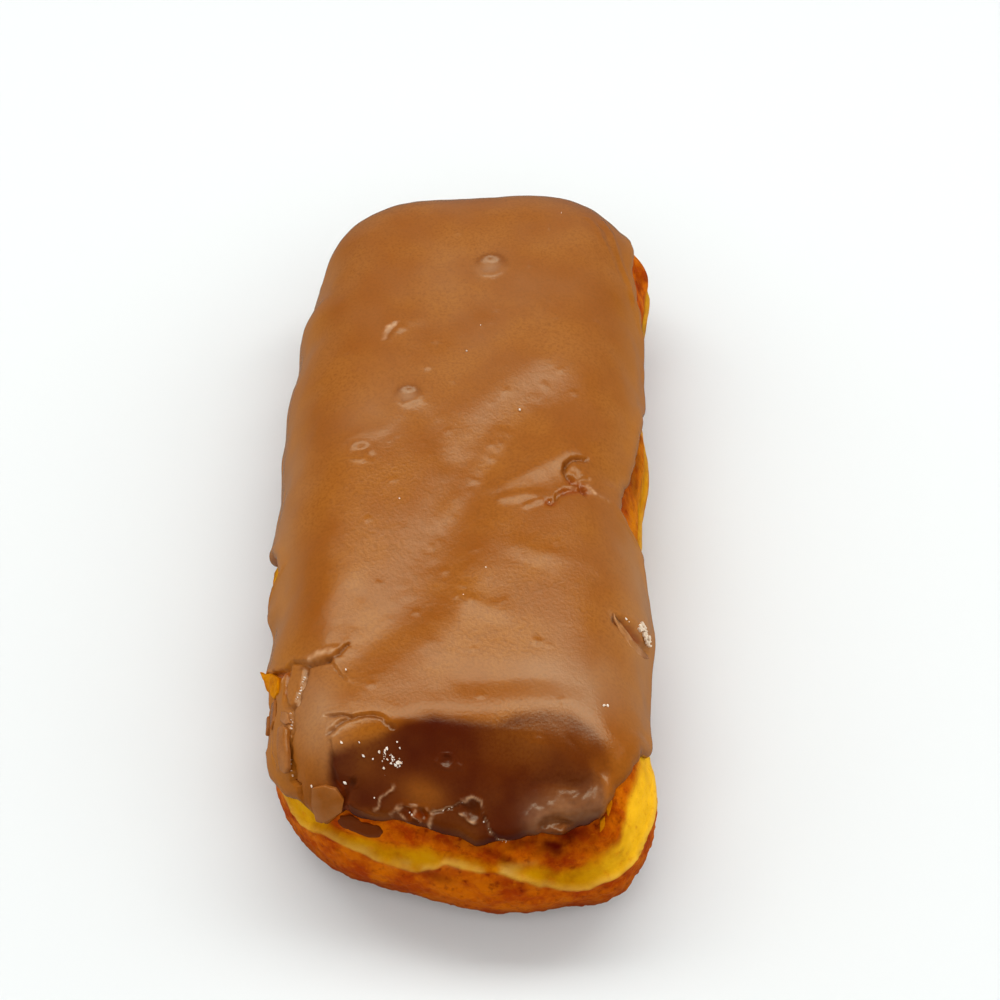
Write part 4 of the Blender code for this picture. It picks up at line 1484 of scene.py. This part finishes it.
        # Painted shade over the near face, where the icing is also thinner.
        face = smooth(-to_line(u, v, FACE_BORDER)[1] / 2.4 + 0.5) * rise(-v, *self.face_near)
        lighter = sum(spot.at(u, v) for spot in self.face_lights)
        return np.maximum(0.2 * smooth(1.0 - up / 2.0) + face * (0.8 + 0.3 * cloud - lighter), 0.0)

    def colour(self, mesh: bpy.types.Mesh, u: Array, v: Array, up: Array, points: Array) -> None:
        """Paints torn, dried and thin icing, milky bloom, and painted shade, sheen and side light."""
        shifted = self.wandering(u, v)
        cloud, flecks = self.clouds.of(self.grain, points), self.flecks.of(self.grain, points)
        torn, dried, shade = (np.zeros_like(u) for _ in range(3))
        for tear in self.torn:
            torn = np.maximum(torn, bump(to_line(*shifted, tear.line)[0], 0.7 * tear.width))
        for rim in self.dried:
            dried = np.maximum(dried, bump(to_line(*shifted, rim.line)[0], 0.8 * rim.reach))
        # Painted shade along the cracks.
        for line in self.shaded:
            shade = np.maximum(shade, bump(to_line(*shifted, line)[0], 0.45))
        bloom_and_sheen = sum(spot.at(u, v) for spot in self.bloom_and_sheen_spots)
        # Craters: painted shade behind the far rim, and painted sheen inside.
        for crater in self.craters:
            away = np.hypot(u - crater.u, v - crater.v) / crater.radius
            behind = smooth((v - crater.v) / crater.radius * 0.8 + 0.5)
            shade = np.maximum(shade, 0.7 * bump(away - 1.0, 0.28) * behind)
            bloom_and_sheen = bloom_and_sheen * (1.0 - 0.8 * bump(away - 1.0, 0.4) * behind) + 0.22 * bump(away, 0.9)
        # Painted light on the sides, fading out towards the top.
        ring_x, ring_y = SKIN.ring(u, v)
        flank = rise(np.abs(ring_x) - np.abs(ring_y), *self.flank_border)
        flank = flank * smooth((self.flank_top - SKIN.arc(u, v)) / self.flank_fade)
        # Painted sheen along the wrinkled streak on the near face.
        streak_sheen = self.streak(u, v, 3.0) * (0.8 + 0.3 * self.wrinkles.of(self.grain, points))
        flaked = np.clip(dried * (0.4 + 0.6 * flecks), 0.0, self.most_dried)
        for name, values in (
            ("torn", self.torn_share * torn),
            ("dried", np.maximum(flaked, self.streak_sheen_share * streak_sheen)),
            ("side", self.side_light_share * flank),
            ("bloom_and_sheen", np.minimum(bloom_and_sheen * (1.0 + 0.6 * cloud), self.most_bloom_and_sheen)),
            ("thin_and_shade", self.thin_and_face_shade(u, v, up, cloud) + self.shade_share * shade),
        ):
            paint(mesh, name, np.clip(values, 0.0, 1.0))

    def dress(self) -> bpy.types.Object:
        """The finished piece in place of the solid."""
        piece = finished("icing_cap", self.build(), self.finish.material())
        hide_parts("icing")
        return piece


DOUGH = DoughBar()


@dataclass(frozen=True)
class Chip:
    """A loose plate lying on the skin, given by its corners in the sheet."""

    corners: Line
    base: float
    thickness: float
    rounding: float
    tilt_u: float = 0.0
    tilt_v: float = 0.0
    deep: float = 0.0
    pale: float = 0.0
    red: float = 0.0


@dataclass
class ChipLayer:
    """Several chips of one finish, made as one piece."""

    name: str
    chips: tuple[Chip, ...]
    finish: FriedDoughFinish | SetIcingFinish | SugarFinish
    slot: str | None = None
    roughness: float = 0.12
    cuts: int = 2
    bevel_segments: int = 3
    seam_share: float = 0.55
    grain: Grain = Grain(23)
    warp: Uneven = Uneven(1.6, 3)
    patches: Uneven = Uneven(3.0, 3, 8.0)

    def plate(self, chip: Chip) -> bpy.types.Mesh:
        """Makes one flat chip: its outline, extruded and rounded.

        Args:
            chip: The chip.

        Returns:
            Its mesh, with the sheet's places as x and y.
        """
        shell = bmesh.new()
        face = shell.faces.new([shell.verts.new((u, v, 0.0)) for u, v in chip.corners])
        raised = bmesh.ops.extrude_face_region(shell, geom=[face])["geom"]
        top = [part for part in raised if isinstance(part, bmesh.types.BMVert)]
        bmesh.ops.translate(shell, verts=top, vec=(0.0, 0.0, chip.thickness))
        bmesh.ops.bevel(
            shell,
            geom=shell.edges,
            offset=chip.rounding,
            offset_type="OFFSET",
            segments=self.bevel_segments,
            profile=0.5,
            affect="EDGES",
            material=-1,
            clamp_overlap=True,
        )
        bmesh.ops.poke(shell, faces=[part for part in shell.faces if len(part.verts) > 4])
        long_edges = [edge for edge in shell.edges if edge.calc_length() > 0.35 * chip.thickness]
        bmesh.ops.subdivide_edges(shell, edges=long_edges, cuts=self.cuts, use_grid_fill=True)
        bmesh.ops.triangulate(shell, faces=shell.faces)
        bmesh.ops.recalc_face_normals(shell, faces=shell.faces)
        mesh = bpy.data.meshes.new("chip")
        shell.to_mesh(mesh)
        shell.free()
        return mesh

    def build(self) -> bpy.types.Mesh:
        """The mesh of all the chips, laid over the skin."""
        shell = bmesh.new()
        sizes = []
        for chip in self.chips:
            part = self.plate(chip)
            sizes.append(len(part.vertices))
            shell.from_mesh(part)
            bpy.data.meshes.remove(part)
        mesh = bpy.data.meshes.new(self.name)
        shell.to_mesh(mesh)
        shell.free()
        flat = mesh_points(mesh)
        u, v = flat[:, 0].copy(), flat[:, 1].copy()
        middles, tilts, base, deep, red, pale = (
            np.repeat(np.array(rows), sizes, axis=0)
            for rows in (
                [np.mean(chip.corners, axis=0) for chip in self.chips],
                [(chip.tilt_u, chip.tilt_v) for chip in self.chips],
                [chip.base for chip in self.chips],
                [chip.deep for chip in self.chips],
                [chip.red for chip in self.chips],
                [chip.pale for chip in self.chips],
            )
        )
        height = base + flat[:, 2] + ((flat[:, :2] - middles) * tilts).sum(axis=1)
        points = SKIN.even(u, v)
        height = height + DOUGH.relief(u, v) + self.roughness * self.warp.of(self.grain, points)
        place_points(mesh, points + SKIN.outward(u, v) * height[:, None])
        pale = pale * (0.5 + 0.8 * self.patches.of(self.grain, points))
        seam = np.full_like(u, self.seam_share)
        for name, values in (("seam", seam), ("thin_and_shade", deep), ("torn", red), ("dried", pale)):
            paint(mesh, name, np.clip(values, 0.0, 1.0))
        return mesh

    def dress(self) -> bpy.types.Object:
        """The finished piece."""
        return finished(self.name, self.build(), self.finish.material())


# Flakes: fewest corners and one more than the most, how far a corner is turned out of its even
# place, its reach as a share of the half width, the slope at most, and the rounding of the edges.
FLAKE_CORNERS = (5, 8)
FLAKE_SKEW = 0.3
FLAKE_REACHES = (0.55, 1.15)
FLAKE_TILT = 0.25
FLAKE_ROUNDING = 0.06


def scatter(places: Dots, base: float, seed: int, thickness: float = 0.3) -> tuple[Chip, ...]:
    """Small uneven flakes.

    Args:
        places: Where each flake lies in the sheet, and its width.
        base: Height of their undersides over the even skin.
        seed: Seed of their outlines.
        thickness: How thick they are.

    Returns:
        The flakes.
    """
    chance = np.random.default_rng(seed)
    made = []
    for u, v, width in places:
        corners = int(chance.integers(*FLAKE_CORNERS))
        even = np.linspace(0.0, 2.0 * math.pi, corners, endpoint=False)
        turns = np.sort(even + chance.uniform(-FLAKE_SKEW, FLAKE_SKEW, corners))
        reach = 0.5 * width * chance.uniform(*FLAKE_REACHES, corners)
        outline = tuple(
            (float(u + r * math.cos(t)), float(v + r * math.sin(t))) for r, t in zip(reach, turns)
        )
        tilts = chance.uniform(-FLAKE_TILT, FLAKE_TILT, 2).tolist()
        made.append(Chip(outline, base, thickness, FLAKE_ROUNDING, *tilts))
    return tuple(made)


def strewn(line: Line, count: int, spread: float, width: float, seed: int) -> Dots:
    """Places of flakes strewn along a line.

    Args:
        line: The line in the sheet.
        count: Number of flakes.
        spread: How far off the line they lie.
        width: Their usual width.
        seed: Seed of their places.

    Returns:
        The place and the width of each flake.
    """
    chance = np.random.default_rng(seed)
    knots = np.array(line)
    lengths = np.concatenate([[0.0], np.cumsum(np.hypot(*np.diff(knots, axis=0).T))])
    along = chance.uniform(0.0, lengths[-1], count)
    u = np.interp(along, lengths, knots[:, 0]) + chance.normal(0.0, spread, count)
    v = np.interp(along, lengths, knots[:, 1]) + chance.normal(0.0, spread, count)
    widths = width * chance.uniform(0.5, 1.4, count)
    return tuple(zip(u.tolist(), v.tolist(), widths.tolist()))


# Plates, flakes and crumbs of broken icing.
ICING_CHIPS = (
    Chip(
        (
            (-31.8, -82.9), (-28.3, -81.0), (-26.1, -80.7), (-25.4, -82.6), (-26.6, -85.1), (-29.2, -87.1),
            (-32.8, -89.7), (-34.8, -90.3), (-33.6, -86.6),
        ),
        1.0, 1.2, 0.2, pale=0.22, tilt_v=0.06,
    ),
    Chip(
        (
            (-36.2, -69.6), (-34.8, -69.2), (-33.4, -70.2), (-34.3, -75.0), (-36.0, -79.0), (-37.4, -80.2),
            (-38.2, -79.0), (-36.9, -74.6),
        ),
        1.2, 1.4, 0.4, pale=0.2,
    ),
    Chip(
        (
            (-28.3, -87.0), (-25.6, -86.2), (-23.1, -87.3), (-19.9, -87.2), (-18.8, -88.2), (-20.0, -89.8),
            (-23.1, -90.6), (-26.1, -90.1), (-28.9, -89.9), (-29.8, -88.8),
        ),
        -0.95, 1.25, 0.55, deep=0.72, red=0.2,
    ),
    Chip(
        (
            (-40.4, -81.6), (-36.4, -82.4), (-32.6, -84.0), (-31.4, -86.2), (-34.6, -86.9), (-38.2, -86.0),
            (-41.2, -83.9),
        ),
        -0.3, 1.0, 0.35, deep=0.7, red=0.2,
    ),
    Chip(
        (
            (30.2, -39.4), (31.6, -41.8), (33.6, -43.0), (36.6, -44.2), (40.0, -44.6), (43.8, -44.6),
            (40.6, -46.0), (37.4, -46.3), (34.6, -45.6), (32.0, -43.4), (30.5, -41.2),
        ),
        1.15, 0.45, 0.16, pale=0.5,
    ),
    Chip(
        ((-46.6, -65.5), (-44.4, -65.0), (-43.8, -68.4), (-45.0, -70.6), (-47.2, -69.0)),
        1.2, 1.2, 0.35, pale=0.15,
    ),
    Chip(
        ((-42.4, -62.4), (-39.9, -61.6), (-39.4, -67.4), (-41.2, -69.4), (-43.0, -66.4)),
        1.1, 1.0, 0.35, pale=0.1,
    ),
    Chip(
        ((-36.0, -65.6), (-34.0, -66.2), (-33.2, -68.8), (-34.6, -69.0), (-36.4, -67.8)),
        1.2, 0.8, 0.2, pale=0.4,
    ),
)
# Flakes of crust at the left edge and below the near face.
DOUGH_CHIPS = (
    Chip(
        (
            (-45.4, -52.4), (-43.9, -53.4), (-41.2, -53.6), (-40.0, -56.2), (-41.0, -59.6), (-42.8, -60.2),
            (-43.9, -57.6), (-44.0, -55.0),
        ),
        1.1, 0.9, 0.2, tilt_u=-0.35, tilt_v=0.1,
    ),
    Chip(
        ((-42.6, -54.6), (-40.0, -54.5), (-37.8, -56.4), (-38.8, -60.2), (-41.2, -61.2), (-42.8, -58.0)),
        1.0, 1.0, 0.25,
    ),
    Chip(((29.6, -79.2), (31.0, -78.4), (31.2, -81.0), (29.8, -82.6), (28.9, -81.2)), 0.1, 0.9, 0.2),
    Chip(((27.8, -82.9), (28.9, -82.2), (29.3, -84.0), (28.4, -85.0)), 0.0, 0.7, 0.15),
)
# Specks of dried sugar on the top and the near face.
SUGAR_PLACES = (
    (-14.8, -72.2, 0.7), (-19.7, -74.1, 0.6), (-12.7, -70.8, 0.5), (-12.3, -71.8, 0.4),
    (-17.9, -74.4, 0.45), (-16.4, -73.0, 0.6), (-15.1, -74.1, 0.6), (-15.2, -72.6, 0.5),
    (-13.0, -74.4, 0.9), (-13.6, -75.0, 0.8), (-12.4, -74.4, 0.6), (-14.4, -74.7, 0.5), (-16.0, -75.8, 0.5),
    (-20.0, -71.9, 0.35), (-23.1, -72.7, 0.55), (-21.9, -57.3, 0.5), (-32.2, -82.9, 0.5),
    (-24.3, -79.3, 0.7), (-18.8, -81.3, 0.35), (11.8, 9.5, 0.55), (5.3, -32.4, 0.45), (0.8, -39.1, 0.35),
    (-12.1, -15.6, 0.35), (2.3, 33.0, 0.3), (-0.2, 25.3, 0.3), (26.4, -60.8, 0.7), (27.1, -60.7, 0.6),
    (19.4, 71.3, 0.3), (33.2, -39.5, 0.9), (34.0, -39.8, 0.5), (18.1, -15.6, 0.3),
)
# Specks of dried sugar along the cracks.
CRACK_SUGAR = (
    strewn(((-30.4, -57.6), (-31.2, -61.7), (-32.6, -64.8)), 12, 0.14, 0.26, 3)
    + strewn(((-33.6, -66.4), (-33.2, -69.6)), 7, 0.3, 0.26, 4)
    + strewn(((-35.2, -76.6), (-37.2, -82.0)), 5, 0.2, 0.24, 5)
    + strewn(((-7.0, -81.9), (-2.3, -80.4), (-0.6, -79.2)), 6, 0.12, 0.18, 6)
    + strewn(((3.6, -81.8), (4.6, -83.4), (6.2, -84.8), (8.8, -85.5)), 7, 0.12, 0.18, 7)
    + strewn(((-10.4, -82.2), (-11.8, -83.2), (-9.6, -84.2)), 6, 0.2, 0.34, 8)
    + strewn(((-8.0, -81.6), (-6.9, -82.6), (-7.9, -84.6)), 7, 0.15, 0.36, 9)
    + strewn(((-14.6, -73.6), (-12.6, -74.6), (-13.6, -75.4)), 34, 0.38, 0.3, 11)
    + strewn(((-15.2, -72.4), (-16.0, -75.0), (-16.4, -77.0)), 14, 0.18, 0.26, 12)
)
GASH_SUGAR = strewn(((37.4, -39.0), (39.4, -40.2), (41.8, -41.0)), 46, 0.7, 0.8, 10)


@dataclass(frozen=True)
class Lamp:
    """An area light that faces the bar: its place and its size in metres, and its power in watts."""

    name: str
    place: tuple[float, float, float]
    power: float
    size: tuple[float, float] = (1.6, 0.9)
    mirrored: bool = False


@dataclass
class Studio:
    """A pale paper floor, some metres wide, soft light from above and behind, and the camera."""

    lens: float = 75.0
    film: float = 36.0
    camera_turn: float = 1.35
    camera_rise: float = 51.0
    camera_distance: float = 454.1
    target: tuple[float, float, float] = (7.68, 7.82, 15.0)
    floor_size: float = 4.0
    paper: str = "#e2e5e4"
    paper_roughness: float = 0.9
    paper_gloss: float = 0.1
    room_glow: float = 0.04
    wall_glow: float = 0.36
    wall_span: tuple[float, float] = (0.5, 0.85)
    floor_glow: float = 0.22
    floor_span: tuple[float, float] = (-0.1, 0.1)
    lamps: tuple[Lamp, ...] = (
        Lamp("softbox_behind", (0.0, 0.32, 0.85), 6.1, (1.5, 0.34), True),
        Lamp("fill_in_front", (0.0, -0.75, 0.85), 6.2),
        Lamp("fill_left", (-1.0, 0.0, 0.5), 5.0),
        Lamp("fill_right", (1.0, 0.0, 0.5), 5.5),
    )

    def camera(self) -> None:
        """Places the camera at the photograph's angle."""
        turn, tilt = math.radians(self.camera_turn), math.radians(self.camera_rise)
        back = Vector(
            (math.sin(turn) * math.cos(tilt), -math.cos(turn) * math.cos(tilt), math.sin(tilt))
        )
        data = bpy.data.cameras.new("camera")
        data.lens = self.lens
        data.sensor_width = self.film
        made = bpy.data.objects.new("camera", data)
        bpy.context.scene.collection.objects.link(made)
        made.location = (Vector(self.target) + back * self.camera_distance) * MM
        made.rotation_euler = back.to_track_quat("Z", "Y").to_euler()
        bpy.context.scene.camera = made

    def hang(self, lamp: Lamp) -> None:
        """Hangs one lamp. Only a mirrored one shows in the gloss of the icing."""
        data = bpy.data.lights.new(lamp.name, "AREA")
        data.shape = "RECTANGLE"
        data.size, data.size_y = lamp.size
        data.energy = lamp.power
        made = bpy.data.objects.new(lamp.name, data)
        bpy.context.scene.collection.objects.link(made)
        made.location = lamp.place
        made.rotation_euler = Vector(lamp.place).to_track_quat("Z", "Y").to_euler()
        made.visible_glossy = lamp.mirrored

    def room(self) -> None:
        """Sets the dim room round the lamps: a paler far wall, and an even glow from below."""
        world = bpy.data.worlds.new("room")
        world.use_nodes = True
        tree = world.node_tree
        place = node(tree, "ShaderNodeTexCoord").outputs["Generated"]
        parts = node(tree, "ShaderNodeSeparateXYZ", {}, {"Vector": place}).outputs
        glow: float | bpy.types.NodeSocket = self.wall_glow
        for axis, span, dark in (
            ("Y", self.wall_span, self.room_glow),
            ("Z", self.floor_span, self.floor_glow),
        ):
            ends = {"Value": parts[axis], "From Min": span[0], "From Max": span[1]}
            ends |= {"To Min": dark, "To Max": glow}
            glow = node(tree, "ShaderNodeMapRange", {}, ends).outputs["Result"]
        tree.links.new(glow, tree.nodes["Background"].inputs["Strength"])
        tree.nodes["Background"].inputs["Color"].default_value = (1.0, 1.0, 1.0, 1.0)
        bpy.context.scene.world = world
        bpy.context.scene.view_settings.view_transform = "Standard"
        bpy.context.scene.view_settings.look = "Medium High Contrast"

    def floor(self) -> None:
        """Lays the paper floor."""
        shell = bmesh.new()
        bmesh.ops.create_grid(shell, x_segments=1, y_segments=1, size=self.floor_size / 2.0)
        mesh = bpy.data.meshes.new("paper_floor")
        shell.to_mesh(mesh)
        shell.free()
        paper = bpy.data.materials.new("matt_paper")
        paper.use_nodes = True
        surface = paper.node_tree.nodes["Principled BSDF"]
        surface.inputs["Base Color"].default_value = linear(self.paper)
        surface.inputs["Roughness"].default_value = self.paper_roughness
        surface.inputs["Specular IOR Level"].default_value = self.paper_gloss
        mesh.materials.append(paper)
        made = bpy.data.objects.new("paper_floor", mesh)
        bpy.context.scene.collection.objects.link(made)
        made.visible_glossy = False

    def build(self) -> None:
        """Sets up the whole studio."""
        self.camera()
        for lamp in self.lamps:
            self.hang(lamp)
        self.room()
        self.floor()


def main() -> None:
    """Builds the studio and the pieces, and reports each piece."""
    logging.basicConfig(level=logging.INFO, format="%(name)s: %(message)s")
    Studio().build()
    white, cream = SugarFinish(), SugarFinish(color="#e6d4be")
    makers = (
        DOUGH,
        IcingCap(),
        ChipLayer("icing_chips", ICING_CHIPS, SetIcingFinish(), "brown_icing"),
        ChipLayer("dough_chips", DOUGH_CHIPS, FriedDoughFinish(), "fried_dough", roughness=0.3),
        ChipLayer("sugar_flakes", scatter(SUGAR_PLACES, 1.45, 31), white, cuts=0, roughness=0.05),
        ChipLayer("crack_sugar", scatter(CRACK_SUGAR, 1.3, 32), white, cuts=0, roughness=0.05),
        ChipLayer("gash_sugar", scatter(GASH_SUGAR, 1.6, 33, 0.55), cream, cuts=0, roughness=0.1),
    )
    for maker in makers:
        piece = maker.dress()
        LOG.info("%s: %d vertices, %d faces", piece.name, len(piece.data.vertices), len(piece.data.polygons))


if __name__ == "__main__":
    main()
